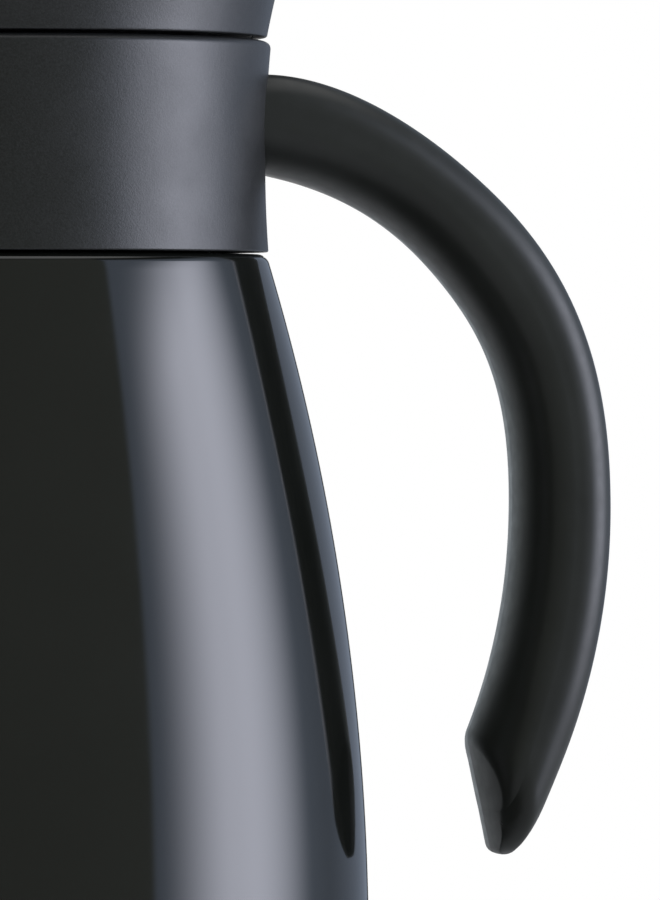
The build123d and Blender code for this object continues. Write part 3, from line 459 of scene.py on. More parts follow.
class Shader(NodeTree):
    """A material's node tree."""

    def __init__(self, name):
        self.material = bpy.data.materials.new(name)
        self.material.use_nodes = True
        self.tree = self.material.node_tree
        self.surface = self.tree.nodes["Principled BSDF"]
        self.place = self.tree.nodes.new("ShaderNodeTexCoord").outputs["Object"]

    def noise(self, scale, detail=2.0, roughness=0.5, stretch=None):
        """Noise with features of about 1 / scale metres."""
        noise = self.node("ShaderNodeTexNoise")
        self.put(scale, noise.inputs["Scale"])
        self.put(detail, noise.inputs["Detail"])
        self.put(roughness, noise.inputs["Roughness"])
        source = self.place
        if stretch:
            mapping = self.node("ShaderNodeMapping")
            self.put(stretch, mapping.inputs["Scale"])
            self.put(source, mapping.inputs["Vector"])
            source = mapping.outputs["Vector"]
        self.put(source, noise.inputs["Vector"])
        return noise.outputs["Fac"]

    def spread(self, value, low, high, start=0.3, end=0.7):
        """Maps a texture value from start..end to low..high."""
        ramp = self.node("ShaderNodeMapRange")
        self.put(start, ramp.inputs["From Min"])
        self.put(end, ramp.inputs["From Max"])
        self.put(low, ramp.inputs["To Min"])
        self.put(high, ramp.inputs["To Max"])
        self.put(value, ramp.inputs["Value"])
        return ramp.outputs["Result"]

    def colour(self, value, dark, light):
        """Base colour between two colours, by a texture value."""
        mix = self.node("ShaderNodeMix", data_type="RGBA")
        mix.inputs["A"].default_value = (*dark, 1.0)
        mix.inputs["B"].default_value = (*light, 1.0)
        self.put(self.spread(value, 0.0, 1.0), mix.inputs["Factor"])
        self.put(mix.outputs["Result"], self.surface.inputs["Base Color"])

    def roughness(self, value, low, high):
        self.put(self.spread(value, low, high), self.surface.inputs["Roughness"])

    def bump(self, *layers):
        """Bump of several layers, each a texture value and its depth in metres."""
        normal = None
        for value, depth in layers:
            bump = self.node("ShaderNodeBump")
            bump.inputs["Strength"].default_value = 1.0
            bump.inputs["Distance"].default_value = depth
            self.put(value, bump.inputs["Height"])
            if normal is not None:
                self.put(normal, bump.inputs["Normal"])
            normal = bump.outputs["Normal"]
        self.put(normal, self.surface.inputs["Normal"])

    def fix(self, **values):
        """Sets plain values, such as Metallic or IOR, on the shader's sockets."""
        for name, value in values.items():
            self.surface.inputs[name.replace("_", " ")].default_value = value


def lacquer(name):
    """Gloss black lacquer: near-black colour under a clear, almost level coat."""
    shader = Shader(name)
    shader.colour(shader.noise(35), (0.0045, 0.0050, 0.0042), (0.0060, 0.0066, 0.0056))
    shader.roughness(shader.noise(120, 4), 0.055, 0.085)
    shader.bump((shader.noise(260, 1), 0.0000008))
    shader.fix(IOR=1.5)
    return shader.material


def sand_grain(name, dark, light, low, high, grain_mm=0.36, depth=0.00003):
    """Matt moulded plastic with an eroded, sand-like texture."""
    shader = Shader(name)
    grain = shader.noise(1000 / grain_mm, 3, 0.6)
    mottle = shader.noise(90, 3)
    shader.colour(grain, dark, light)
    shader.roughness(mottle, low, high)
    shader.bump((grain, depth), (shader.noise(900, 2), depth * 0.5))
    shader.fix(IOR=1.46)
    return shader.material


def smooth_plastic(name, colour, low, high, ior=1.46, depth=0.0000015):
    """Plain moulded plastic, satin to gloss, with slight flow marks."""
    shader = Shader(name)
    light = tuple(1.25 * part + 0.001 for part in colour)
    shader.colour(shader.noise(60, 3), colour, light)
    shader.roughness(shader.noise(400, 3), low, high)
    shader.bump((shader.noise(1600, 2), depth))
    shader.fix(IOR=ior)
    return shader.material


def brushed_metal(name, colour, low, high, stretch):
    """Metal with fine marks drawn out along the direction with the low stretch."""
    shader = Shader(name)
    marks = shader.noise(900, 3, 0.6, stretch)
    light = tuple(min(1.0, 1.15 * part) for part in colour)
    shader.colour(marks, colour, light)
    shader.roughness(marks, low, high)
    shader.bump((marks, 0.000002))
    shader.fix(Metallic=1.0)
    return shader.material


def soft_rubber(name, colour, low, high, through=0.0):
    """Silicone or rubber, faintly mottled, with a dusty, matt face."""
    shader = Shader(name)
    light = tuple(min(1.0, 1.18 * part) for part in colour)
    shader.colour(shader.noise(220, 4), colour, light)
    shader.roughness(shader.noise(700, 3), low, high)
    shader.bump((shader.noise(2200, 3), 0.000006))
    shader.fix(Subsurface_Weight=through)
    return shader.material


ROUND_MARKS = (1.0, 1.0, 14.0)
materials = {
    "lacquer_black": lacquer("lacquer_black"),
    "stainless": brushed_metal("stainless", (0.50, 0.50, 0.49), 0.24, 0.36, ROUND_MARKS),
    "collar_grey": sand_grain(
        "collar_grey", (0.004, 0.0045, 0.0045), (0.018, 0.019, 0.0195), 0.34, 0.42
    ),
    "handle_black": smooth_plastic("handle_black", (0.0150, 0.0163, 0.0146), 0.34, 0.42, 1.38),
    "cover_grey": sand_grain(
        "cover_grey", (0.011, 0.0115, 0.0115), (0.024, 0.025, 0.0255), 0.38, 0.46
    ),
    "inner_plastic": smooth_plastic("inner_plastic", (0.022, 0.022, 0.023), 0.38, 0.50),
    "base_black": sand_grain(
        "base_black", (0.012, 0.012, 0.012), (0.022, 0.022, 0.022), 0.45, 0.55, 0.5
    ),
    "button_satin": smooth_plastic("button_satin", (0.014, 0.015, 0.015), 0.26, 0.33),
    "trim_chrome": brushed_metal("trim_chrome", (0.70, 0.70, 0.71), 0.06, 0.12, ROUND_MARKS),
    "silicone": soft_rubber("silicone", (0.50, 0.51, 0.51), 0.42, 0.55, 0.15),
    "foot_rubber": soft_rubber("foot_rubber", (0.020, 0.020, 0.020), 0.62, 0.78),
    "spring_steel": brushed_metal("spring_steel", (0.45, 0.45, 0.45), 0.25, 0.35, (1.0, 1.0, 4.0)),
    "copper_foil": brushed_metal("copper_foil", (0.74, 0.38, 0.24), 0.22, 0.40, (6.0, 6.0, 1.0)),
    "getter_grey": soft_rubber("getter_grey", (0.18, 0.18, 0.18), 0.75, 0.90),
    "zinc": brushed_metal("zinc", (0.56, 0.57, 0.55), 0.28, 0.42, (5.0, 1.0, 1.0)),
}
for node, shown in frame["nodes"].items():
    for material_slot in shown.material_slots:
        material_slot.material = materials[slot_of[node]]


def dress(piece, node, sharp=38.0):
    """Gives a finished piece its normals, material and body, and hides the CAD node it stands for.
    """
    piece.data.shade_smooth()
    piece.data.set_sharp_from_angle(angle=radians(sharp))
    even = piece.modifiers.new("even_normals", "WEIGHTED_NORMAL")
    even.keep_sharp = True
    piece.data.materials.clear()
    piece.data.materials.append(materials[slot_of[node]])
    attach(piece, body_of[node])
    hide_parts(node)
    return piece


def turned_piece(node, outline, segments=SEGMENTS):
    """Dressed piece that is a surface of revolution, named after its CAD node."""
    dress(lathe(node + "_form", outline, segments), node)


# ---- flask ----
def outer_wall():
    """Outer steel wall: rolled foot, bulged side, flat shoulder and neck."""
    wall_r = BODY_R - SHEET / 2
    middle_z = SHOULDER_Z - SHEET / 2
    foot = (SHELL_FOOT_R - SHEET / 2, SHELL_BOTTOM_Z + SHEET / 2)
    corners = [(SHELL_FOOT_OPENING_R, foot[1]), (*foot, 1.2)]
    corners += foot_curve(foot, (wall_r, WIDEST_Z), 8)
    corners += long_side(wall_r, middle_z, 44)[:-1]
    corners += [
        (side_arc(wall_r, middle_z), middle_z, 2.0),
        (NECK_OUTER_R - SHEET / 2, middle_z, 2.4),
        (NECK_OUTER_R - SHEET / 2, NECK_TOP_Z - SHEET),
    ]
    line = rounded(corners, closed=False, steps=8)
    turned_piece("outer_shell", thickened(line, SHEET), FINE_SEGMENTS)


def inner_wall():
    """Inner steel wall: domed bottom, steep shoulder, neck and rolled mouth."""
    half = SHEET / 2
    wall_r = BODY_R - SHEET - FLASK_GAP - half
    corner = (wall_r - 2.5, FLASK_BOTTOM_Z)
    throat_z = FLASK_SHOULDER_Z + 9.0
    mouth_z = NECK_TOP_Z - half
    corners = [(0.0, FLASK_BOTTOM_Z), (*corner, 9.0)]
    corners += foot_curve(corner, (wall_r, WIDEST_Z), 6)[3:]
    corners += long_side(wall_r, FLASK_SHOULDER_Z, 36)[:-3]
    corners += [
        (side_arc(wall_r, FLASK_SHOULDER_Z), FLASK_SHOULDER_Z, 9.0),
        (NECK_R + half, throat_z, 6.0),
        (NECK_R + half, mouth_z, 0.9),
        (NECK_OUTER_R, mouth_z),
    ]
    line = rounded(corners, closed=False, steps=8)
    turned_piece("inner_flask", thickened(line, SHEET))


def foot_cup():
    """Black foot cup under the steel body."""
    outline = rounded(
        [
            (0.0, PAD_H),
            (PAD_R + 0.4, PAD_H, 0.2),
            (PAD_R + 0.4, BASE_BOTTOM_Z, 0.3),
            (62.9, BASE_BOTTOM_Z, 2.6),
            (64.3, BASE_TOP_Z, 0.5),
            (62.3, BASE_TOP_Z, 0.3),
            (61.6, PAD_H + 2.0, 1.0),
            (0.0, PAD_H + 2.0),
        ],
        closed=False,
    )
    cup = lathe("base_cover_form", outline)
    for rib_r in (30.0, 52.0):
        rib = rounded(
            [
                (rib_r - 2.0, PAD_H + 1.8),
                (rib_r, PAD_H + 1.8),
                (rib_r, SHELL_BOTTOM_Z, 0.3),
                (rib_r - 2.0, SHELL_BOTTOM_Z, 0.3),
            ]
        )
        combine(cup, lathe("rib", rib), "UNION")
    dress(cup, "base_cover")


def rubber_foot():
    """Rubber disc with two shallow rings in its underside."""
    outline = [(0.0, 0.0)]
    for groove_r in (22.0, 40.0):
        outline += rounded(
            [
                (groove_r - 1.5, 0.0, 0.2),
                (groove_r - 1.1, 0.5, 0.1),
                (groove_r + 1.1, 0.5, 0.1),
                (groove_r + 1.5, 0.0, 0.2),
            ],
            closed=False,
        )
    outline += rounded([(44.0, 0.0), (PAD_R, 0.0, 0.5), (PAD_R, PAD_H, 0.15), (0.0, PAD_H)], False)
    turned_piece("foot_pad", outline)


# ---- neck ----
def collar_radius(height):
    """Outer radius of the collar's waisted side, a circular arc through three points."""
    return collar_centre[0] - sqrt(collar_arc_r**2 - (height - collar_centre[1]) ** 2)


collar_centre, collar_arc_r = circle_of(
    (COLLAR_BOTTOM_R, COLLAR_BOTTOM_Z),
    (COLLAR_WAIST_R, COLLAR_WAIST_Z),
    (COLLAR_TOP_R, COLLAR_SIDE_TOP_Z),
)


def collar():
    """Neck collar: waisted skin, top flange, sleeve, ribs, slots and screw holes."""
    outside = arc_through(
        (COLLAR_BOTTOM_R, COLLAR_BOTTOM_Z),
        (COLLAR_WAIST_R, COLLAR_WAIST_Z),
        (COLLAR_TOP_R, COLLAR_SIDE_TOP_Z),
        28,
    )
    brow = bezier(
        (COLLAR_TOP_R, COLLAR_SIDE_TOP_Z),
        (COLLAR_TOP_R + 0.02, COLLAR_SIDE_TOP_Z + 1.1),
        (COLLAR_TOP_R - 0.9, COLLAR_TOP_Z),
        (COLLAR_TOP_R - 2.6, COLLAR_TOP_Z),
        10,
    )
    under_z = COLLAR_TOP_Z - COLLAR_WALL
    step_r = SLEEVE_R + 2.2
    inner_top = (COLLAR_TOP_R - COLLAR_WALL, under_z)
    inner_waist = (COLLAR_WAIST_R - COLLAR_WALL, COLLAR_WAIST_Z)
    inner_bottom = (COLLAR_BOTTOM_R - COLLAR_WALL, COLLAR_BOTTOM_Z)
    inside = arc_through(inner_top, inner_waist, inner_bottom, 20)
    corners = [(COLLAR_BOTTOM_R, COLLAR_BOTTOM_Z, 0.35)] + outside[1:] + brow[1:]
    corners += [
        (SOCKET_R, COLLAR_TOP_Z, 0.3),
        (SOCKET_R, NECK_TOP_Z, 0.2),
        (NECK_OUTER_R + 0.1, NECK_TOP_Z, 0.2),
        (NECK_OUTER_R + 0.1, SLEEVE_BOTTOM_Z, 0.4),
        (SLEEVE_R, SLEEVE_BOTTOM_Z, 0.4),
        (SLEEVE_R, 186.5, 0.8),
        (step_r, 188.5, 0.8),
        (step_r, under_z, 0.5),
        (*inner_top, 0.5),
    ]
    corners += inside[1:-1] + [(*inner_bottom, 0.35)]
    form = lathe("neck_collar_form", rounded(corners), FINE_SEGMENTS)
    rib_outline = box_outline(42.5, 47.5, -0.9, 0.9)
    for rib in range(8):
        tool = prism("rib", rib_outline, NECK_TOP_Z, under_z + 0.5)
        rotate_about_z(tool, radians(22.5 + 45 * rib))
        combine(form, tool, "UNION")
    for y in (-HANDLE_SCREW_Y, HANDLE_SCREW_Y):
        pad = cross_pin(y, HANDLE_SCREW_Z, 3.4, HEAD_X, HEAD_X + 1.8)
        combine(form, pad, "UNION")
        driver_hole = cross_pin(y, HANDLE_SCREW_Z, 2.3, 30.0, 44.5)
        combine(form, driver_hole, "DIFFERENCE")
        screw_hole = cross_pin(y, HANDLE_SCREW_Z, SCREW_CORE_R + 0.2, 45.0, 51.0)
        combine(form, screw_hole, "DIFFERENCE")
    slot_outline = box_outline(37.0, 43.0, -1.0, 1.0, 0.4)
    for slot in range(4):
        tool = prism("slot", slot_outline, 166.0, 184.0)
        rotate_about_z(tool, radians(45 + 90 * slot))
        combine(form, tool, "DIFFERENCE")
    dress(form, "neck_collar")


def rotate_about_z(piece, angle):
    """Turns a piece's mesh about the Z axis."""
    for vertex in piece.data.vertices:
        x, y, z = vertex.co
        vertex.co = (x * cos(angle) - y * sin(angle), x * sin(angle) + y * cos(angle), z)


def neck_seal_ring():
    """Silicone ring between the steel mouth and the thread ring."""
    outline = rounded(
        [
            (NECK_R + 0.7, NECK_TOP_Z, 0.3),
            (NECK_OUTER_R - 0.2, NECK_TOP_Z, 0.3),
            (NECK_OUTER_R - 0.2, MOUTH_RING_BOTTOM_Z, 0.3),
            (NECK_R + 0.7, MOUTH_RING_BOTTOM_Z, 0.3),
        ]
    )
    turned_piece("neck_gasket", outline)


def thread_ring():
    """Ring in the collar's socket with the female thread."""
    outline = rounded(
        [
            (NECK_R + 0.8, MOUTH_RING_BOTTOM_Z, 0.2),
            (SOCKET_R, MOUTH_RING_BOTTOM_Z, 0.2),
            (SOCKET_R, MOUTH_RING_TOP_Z, 0.3),
            (MOUTH_R + 0.8, MOUTH_RING_TOP_Z, 0.5),
            (MOUTH_R, MOUTH_RING_TOP_Z - 0.8, 0.4),
            (MOUTH_R, MOUTH_RING_BOTTOM_Z + 0.8, 0.3),
            (NECK_R + 0.8, MOUTH_RING_BOTTOM_Z + 0.8, 0.2),
        ]
    )
    ring = lathe("mouth_ring_form", outline)
    add_thread(ring, MOUTH_R, FEMALE_CREST_R, FEMALE_Z)
    dress(ring, "mouth_ring")


# ---- handle ----
# Side view points are (x, z). A line along the handle is (share, across, deep), see
# section_lines.
BEAK = (89.04, 73.69)  # where the inner side meets the slanted free end
END_LOW = (93.36, 53.59)  # the slanted end stops here and the tip's rounding starts
END_DIRECTION = (Vector(END_LOW) - Vector(BEAK)).normalized()
END_INWARD = Vector((-END_DIRECTION.y, END_DIRECTION.x))
END_LOW_Z = 51.0
END_CORNER_R = 10.0  # rounding of the free end's corners, seen from behind
END_ROUND = 6.0  # rounding between the flat sides and the slanted end
TIP_ROUND = 1.85
BEAK_ROUND = 5.0
END_BOW = 3.5  # how much the slanted end falls back towards its sides
BOW_REACH = 16.0  # fades out this far from the slanted end
BOW_TOP = 96.0
PARTING_GROOVE = 0.05  # along the back, between the halves
ROOT_SINK = 0.3  # how far the root runs into the collar's skin
LEAST_EDGE = 0.4
LEAST_ROLL = 0.8
LEAST_ROUND = 0.3
ROLL_MIDDLE = radians(16.0)  # part of the inner side's ellipse beside the parting plane
CAP_DEPTHS = (0.0, 0.03, 0.5, 1.0)  # lines beside the parting plane, as shares
RIM = len(CAP_DEPTHS) - 1  # first line that isn't beside the parting plane
CURVE_STEPS = 40
LEAD_STEPS = 12
HANDLE_ROWS = 110
END_ROWS = 8


def side_curve(*curves):
    """Side-view curve from root to free end: straight pieces have two points, Beziers four."""
    points = []
    for curve in curves:
        if len(curve) == 2:
            start, end = Vector(curve[0]), Vector(curve[1])
            part = [tuple(start.lerp(end, step / LEAD_STEPS)) for step in range(LEAD_STEPS + 1)]
        else:
            part = bezier(*curve, CURVE_STEPS)
        points += part if not points else part[1:]
    return points


outer_curve = side_curve(
    ((45.0, 199.2), (47.7, 199.2)),
    ((47.7, 199.2), (69.5, 199.2), (90.6, 178.6), (95.1, 173.9)),
    ((95.1, 173.9), (111.5, 156.81), (115.0, 137.0), (115.0, 117.0)),
    ((115.0, 117.0), (115.0, 93.6), (108.6, 70.7), (96.2, 50.6)),
    ((96.2, 50.6), (86.0, 33.66)),
)
inner_curve = side_curve(
    ((45.0, 183.16), (52.3, 181.5)),
    ((52.3, 181.5), (70.3, 177.5), (79.8, 168.2), (85.5, 161.5)),
    ((85.5, 161.5), (94.9, 150.49), (99.8, 139.5), (99.8, 118.9)),
    ((99.8, 118.9), (99.8, 100.6), (96.5, 86.6), (90.7, 73.0)),
    ((90.7, 73.0), (82.2, 52.72)),
)


def section_lines():
    """The lines that run along one half of the handle.

    Each is (share, across, deep): share is 0 on the outer curve and 1 on the inner
    one, across the turn through the rounded edge in radians, and deep the depth of
    the part beside the parting plane, as a share of it.
    """
    edge = [radians(degrees) for degrees in range(10, 91, 10)]
    lines = [(0.0, 0.0, deep) for deep in CAP_DEPTHS]
    lines += [(0.0, across, 1.0) for across in edge]
    lines += [(share, pi / 2, 1.0) for share in (0.25, 0.5, 0.75)]
    lines += [(1.0, across, 1.0) for across in reversed(edge)]
    lines += [(1.0, 0.0, deep) for deep in reversed(CAP_DEPTHS)]
    return lines


def roll_turn(line):
    """Turn round the inner side's ellipse, from the parting plane to the flat side."""
    _, across, deep = line
    return deep * ROLL_MIDDLE + (pi / 2 - ROLL_MIDDLE) * across / (pi / 2)


def run_of(line, wall, inset):
    """Side-view points and depth of one line.

    The whole form is smaller by wall, and near the free end by inset as well.
    """
    share, across, deep = line
    in_depth = wall + min(inset, END_ROUND)
    edge = max(HANDLE_EDGE - in_depth, LEAST_EDGE)
    roll = max(ROLL_DEPTH - in_depth, LEAST_ROLL)
    half = HANDLE_HALF - in_depth
    if share == 0.0:
        groove = PARTING_GROOVE if deep == 0.0 and wall == 0.0 else 0.0
        away = wall + inset + edge * (1 - cos(across)) + groove
        depth = deep * (half - edge) + edge * sin(across)
        return offset_curve(outer_curve, away, -1), depth
    if share == 1.0:
        turn = roll_turn(line)
        away = wall + inset + roll * (1 - cos(turn)) - ROLL_BULGE
        return offset_curve(inner_curve, away, 1), half * sin(turn)
    outer = offset_curve(outer_curve, wall + inset + edge, -1)
    inner = offset_curve(inner_curve, wall + inset + roll - ROLL_BULGE, 1)
    return [tuple(Vector(a).lerp(Vector(b), share)) for a, b in zip(outer, inner)], half


def facing_of(line, wall):
    """How much a line's surface faces out of the handle in the side view: 0 to 1."""
    share, across, _ = line
    if share == 0.0:
        return cos(across)
    if share < 1.0:
        return 0.0
    turn = roll_turn(line)
    out = cos(turn) / (ROLL_DEPTH - wall)
    return out / hypot(out, sin(turn) / (HANDLE_HALF - wall))


def narrowed(depth, height):
    """Depth of a point after the free end's corners are rounded, seen from behind."""
    sunk = END_LOW_Z + END_CORNER_R - height
    if sunk <= 0:
        return depth
    sunk = min(sunk, END_CORNER_R)
    half = HANDLE_HALF - END_CORNER_R + sqrt(END_CORNER_R**2 - sunk**2)
    return depth * half / HANDLE_HALF


def crossing(points, index, room):
    """Index, and point between index - 1 and index, where room is nought."""
    before, after = room(points[index - 1]), room(points[index])
    share = before / (before - after)
    return index, tuple(Vector(points[index - 1]).lerp(Vector(points[index]), share))


def way_out(points, room):
    """Where a line from inside first leaves: room turns negative."""
    index = next(i for i in range(1, len(points)) if room(points[i]) < 0)
    return crossing(points, index, room)


def last_way_out(points, room):
    """Where a line leaves for good."""
    index = next(i for i in range(len(points) - 1, 0, -1) if room(points[i - 1]) > 0)
    return crossing(points, index, room)


def even_rows(points, count):
    """The same line with points at even distances."""
    lengths = [0.0]
    for a, b in zip(points, points[1:]):
        lengths.append(lengths[-1] + hypot(b[0] - a[0], b[1] - a[1]))
    rows, index = [], 0
    for row in range(count):
        target = lengths[-1] * row / (count - 1)
        while index < len(points) - 2 and lengths[index + 1] < target:
            index += 1
        share = (target - lengths[index]) / (lengths[index + 1] - lengths[index])
        rows.append(tuple(Vector(points[index]).lerp(Vector(points[index + 1]), min(share, 1.0))))
    return rows


def end_rounding(line, wall):
    """Rounding radius where a line meets the slanted end: tip, face edge or beak."""
    share, across, _ = line
    to_side = across / (pi / 2)
    corner = TIP_ROUND if share < 0.5 else BEAK_ROUND
    return max(corner + (END_ROUND - corner) * to_side - wall, LEAST_ROUND)


def handle_column(line, wall):
    """One line's points from the root, round the free end's edge."""
    points, depth = run_of(line, wall, 0.0)
    on_end = Vector(BEAK) + END_INWARD * wall

    def before_root(point):
        if wall > 0:
            return HANDLE_CORE_X - point[0]
        return collar_radius(point[1]) - ROOT_SINK - hypot(point[0], depth)

    def before_end(point):
        return (Vector(point) - on_end).dot(END_INWARD)

    start, first = way_out(points, before_root)
    near, _ = last_way_out(points, before_end)
    along = (Vector(points[near]) - Vector(points[near - 1])).normalized()
    outwards = {0.0: 1.0, 1.0: -1.0}.get(line[0], 0.0)
    facing = Vector((-along.y, along.x)) * outwards
    lean = facing.dot(-END_INWARD) * facing_of(line, wall)
    turn = acos(max(-1.0, min(1.0, lean)))
    radius = end_rounding(line, wall)
    column = []
    for row in range(END_ROWS + 1):
        part = turn * row / END_ROWS
        moved, deep_y = run_of(line, wall, radius * (1 - cos(part)))
        gap = radius * (1 - cos(turn - part))
        index, end = last_way_out(moved, lambda point: before_end(point) - gap)
        if row == 0:
            body = [first] + points[start:index] + [end]
            column += [(x, narrowed(deep_y, z), z) for x, z in even_rows(body, HANDLE_ROWS)]
        else:
            column.append((end[0], narrowed(deep_y, end[1]), end[1]))
    return column


def cap_point(point, at_root, wall):
    """Point on a cap: the outer skin's root cap follows the collar, the others are flat."""
    x, y, z = point
    if at_root and wall == 0:
        x = sqrt((collar_radius(z) - ROOT_SINK) ** 2 - y**2)
    return (x, y, z)


def cap_grid(columns, row, base, wall, vertices):
    """Vertex numbers of the cap across one end, by line and by depth."""
    count = len(columns[0])
    last = len(columns) - 1
    grid = {}
    for number in range(RIM, last - RIM + 1):
        x, y, z = columns[number][row]
        for level, share in enumerate(CAP_DEPTHS):
            if number == RIM:
                grid[number, level] = base + level * count + row
            elif number == last - RIM:
                grid[number, level] = base + (last - level) * count + row
            elif level == RIM:
                grid[number, level] = base + number * count + row
            else:
                grid[number, level] = len(vertices)
                vertices.append(cap_point((x, y * share, z), row == 0, wall))
    return grid


def handle_skin(wall, vertices, faces):
    """Skin of a half handle, closed at both ends; returns its open edge's points."""
    columns = [handle_column(line, wall) for line in section_lines()]
    base = len(vertices)
    count = len(columns[0])
    last = len(columns) - 1
    for column in columns:
        vertices += column
    for number in range(last):
        for row in range(count - 1):
            a = base + number * count + row
            faces.append((a, a + 1, a + count + 1, a + count))
    open_edges = []
    for row in (0, count - 1):
        grid = cap_grid(columns, row, base, wall, vertices)
        for number in range(RIM, last - RIM):
            for level in range(RIM):
                low, high = grid[number, level], grid[number, level + 1]
                low_next, high_next = grid[number + 1, level], grid[number + 1, level + 1]
                faces.append((low, high, high_next, low_next))
        open_edges.append([grid[number, 0] for number in range(RIM, last - RIM + 1)])
    first_column = [base + row for row in range(count)]
    last_column = [base + last * count + row for row in range(count)]
    root, end = open_edges
    return first_column + end[1:-1] + last_column[::-1] + root[1:-1][::-1]


def bowed(point):
    """Point near the slanted end, moved in so that the end is rounded across."""
    x, y, z = point
    inside = (Vector((x, z)) - Vector(BEAK)).dot(END_INWARD)
    if inside > BOW_REACH or z > BOW_TOP:
        return point
    fade = (1 - max(inside, 0.0) / BOW_REACH) ** 2
    fade *= min(1.0, (BOW_TOP - z) / BOW_REACH)
    move = END_INWARD * END_BOW * fade * (y / HANDLE_HALF) ** 2
    return (x + move.x, y, z + move.y)


def handle_half(node, side):
    """One half of the handle, hollow and open at the parting plane."""
    vertices, faces = [], []
    outer_edge = handle_skin(0.0, vertices, faces)
    inner_edge = handle_skin(HANDLE_WALL, vertices, faces)
    count = len(outer_edge)
    for index in range(count):
        ahead = (index + 1) % count
        faces.append(
            (outer_edge[index], outer_edge[ahead], inner_edge[ahead], inner_edge[index])
        )
    placed = [(x, side * y, z) for x, y, z in map(bowed, vertices)]
    dress(make_mesh(node + "_form", placed, faces), node)


# ---- stopper ----
def lid_radius(height):
    """Outer radius of the lid's flare at a height."""
    rise = height - LID_BOTTOM_Z
    return LID_BOTTOM_R + LID_SLOPE * rise + rise**2 / (2 * LID_FLARE)


def lip_growth(height):
    """How far the pouring lip has grown at a height, from 0 to 1 at the rim."""
    return max(0.0, (height - LIP_START_Z) / (LID_RIM_Z - LIP_START_Z)) ** 1.5


def lip_reach(angle):
    """How far the lip stands out at a turn from +X."""
    return LIP_REACH * ((1 - cos(angle)) / 2) ** LIP_SHARPNESS


def screw_places():
    """Places of the three screws between deck and plug."""
    turns = [radians(120 * screw) for screw in range(3)]
    return [(SCREW_CIRCLE_R * cos(turn), SCREW_CIRCLE_R * sin(turn)) for turn in turns]


def plug():
    """Hollow plug with the male thread and the valve seat."""
    outline = rounded(
        [
            (VALVE_SEAT_R, PLUG_BOTTOM_Z, 0.3),
            (PLUG_R, PLUG_BOTTOM_Z, 1.2),
            (PLUG_R, GROOVE_Z, 0.25),
            (GROOVE_R, GROOVE_Z, 0.3),
            (GROOVE_R, GROOVE_Z + GROOVE_H, 0.3),
            (PLUG_R, GROOVE_Z + GROOVE_H, 0.25),
            (PLUG_R, PLUG_WALL_TOP_Z, 1.0),
            (MALE_ROOT_R, 192.5, 1.0),
            (MALE_ROOT_R, PLUG_FLANGE_Z, 0.5),
            (PLUG_FLANGE_R, PLUG_FLANGE_Z, 0.4),
            (PLUG_FLANGE_R, PLUG_TOP_Z, 0.3),
            (32.6, PLUG_TOP_Z, 0.3),
            (32.6, 192.0, 0.8),
            (28.6, 189.0, 0.8),
            (28.6, PLUG_BOTTOM_Z + PLUG_FLOOR, 0.8),
            (TUBE_R + 1.8, PLUG_BOTTOM_Z + PLUG_FLOOR, 0.8),
            (TUBE_R + 1.8, PLUG_TOP_Z, 0.2),
            (TUBE_R, PLUG_TOP_Z, 0.2),
            (TUBE_R, PLUG_BOTTOM_Z + PLUG_FLOOR, 0.3),
            (VALVE_SEAT_R, PLUG_BOTTOM_Z + 1.4, 0.3),
        ]
    )
    form = lathe("stopper_plug_form", outline)
    for x, y in screw_places():
        boss = circle_outline(x, y, SCREW_BOSS_R)
        weld_prism(form, boss, PLUG_TOP_Z - SCREW_BOSS_H, PLUG_TOP_Z)
        hole = circle_outline(x, y, SCREW_CORE_R, 20)
        cut_prism(form, hole, PLUG_TOP_Z - SCREW_HOLE_DEPTH, PLUG_TOP_Z + 1.0)
    add_thread(form, MALE_ROOT_R, MALE_CREST_R, MALE_Z)
    dress(form, "stopper_plug")


def plug_seal():
    """Silicone ring with a rounded sealing face."""
    low_z = GROOVE_Z + RUN_GAP
    high_z = GROOVE_Z + GROOVE_H - RUN_GAP
    face = arc_through(
        (PLUG_R, low_z), (NECK_R - RUN_GAP, (low_z + high_z) / 2), (PLUG_R, high_z), 10
    )
    corners = [(GROOVE_R + RUN_GAP, low_z, 0.3)] + face + [(GROOVE_R + RUN_GAP, high_z, 0.3)]
    turned_piece("stopper_gasket", rounded(corners))


def lip_trough():
    """Space between the channel's walls out to the inside of the lip, as a tool.

    The lip's reach depends on the turn, so each radius is found in a few rounds.
    """
    across = 24
    heights = [LIP_START_Z + 0.5 * step for step in range(29)]
    heights += [LID_RIM_Z - below for below in (0.75, 0.5, 0.3, 0.15, 0.05, 0.0, -1.0)]
    vertices, faces = [], []
    for height in heights:
        near_rim = min(max(height - (LID_RIM_Z - 1.0), 0.0), 1.0)
        wall = LID_WALL - (1 - sqrt(1 - near_rim**2))
        level = min(height, LID_RIM_Z)
        base = lid_radius(level) - wall
        for step in range(across + 1):
            y = CHANNEL_HALF * (2 * step / across - 1)
            radius = base
            for _ in range(6):
                angle = atan2(y, -sqrt(radius**2 - y**2))
                radius = base + lip_growth(level) * lip_reach(angle)
            vertices.append((-sqrt(radius**2 - y**2), y, height))
        vertices.append((-40.0, CHANNEL_HALF, height))
        vertices.append((-40.0, -CHANNEL_HALF, height))
    ring = across + 3
    for level in range(len(heights) - 1):
        for step in range(ring):
            a, b = level * ring + step, level * ring + (step + 1) % ring
            faces.append((a, b, b + ring, a + ring))
    faces.append(tuple(range(ring)))
    faces.append(tuple(range((len(heights) - 1) * ring, len(heights) * ring)))
    return make_mesh("trough", vertices, faces)


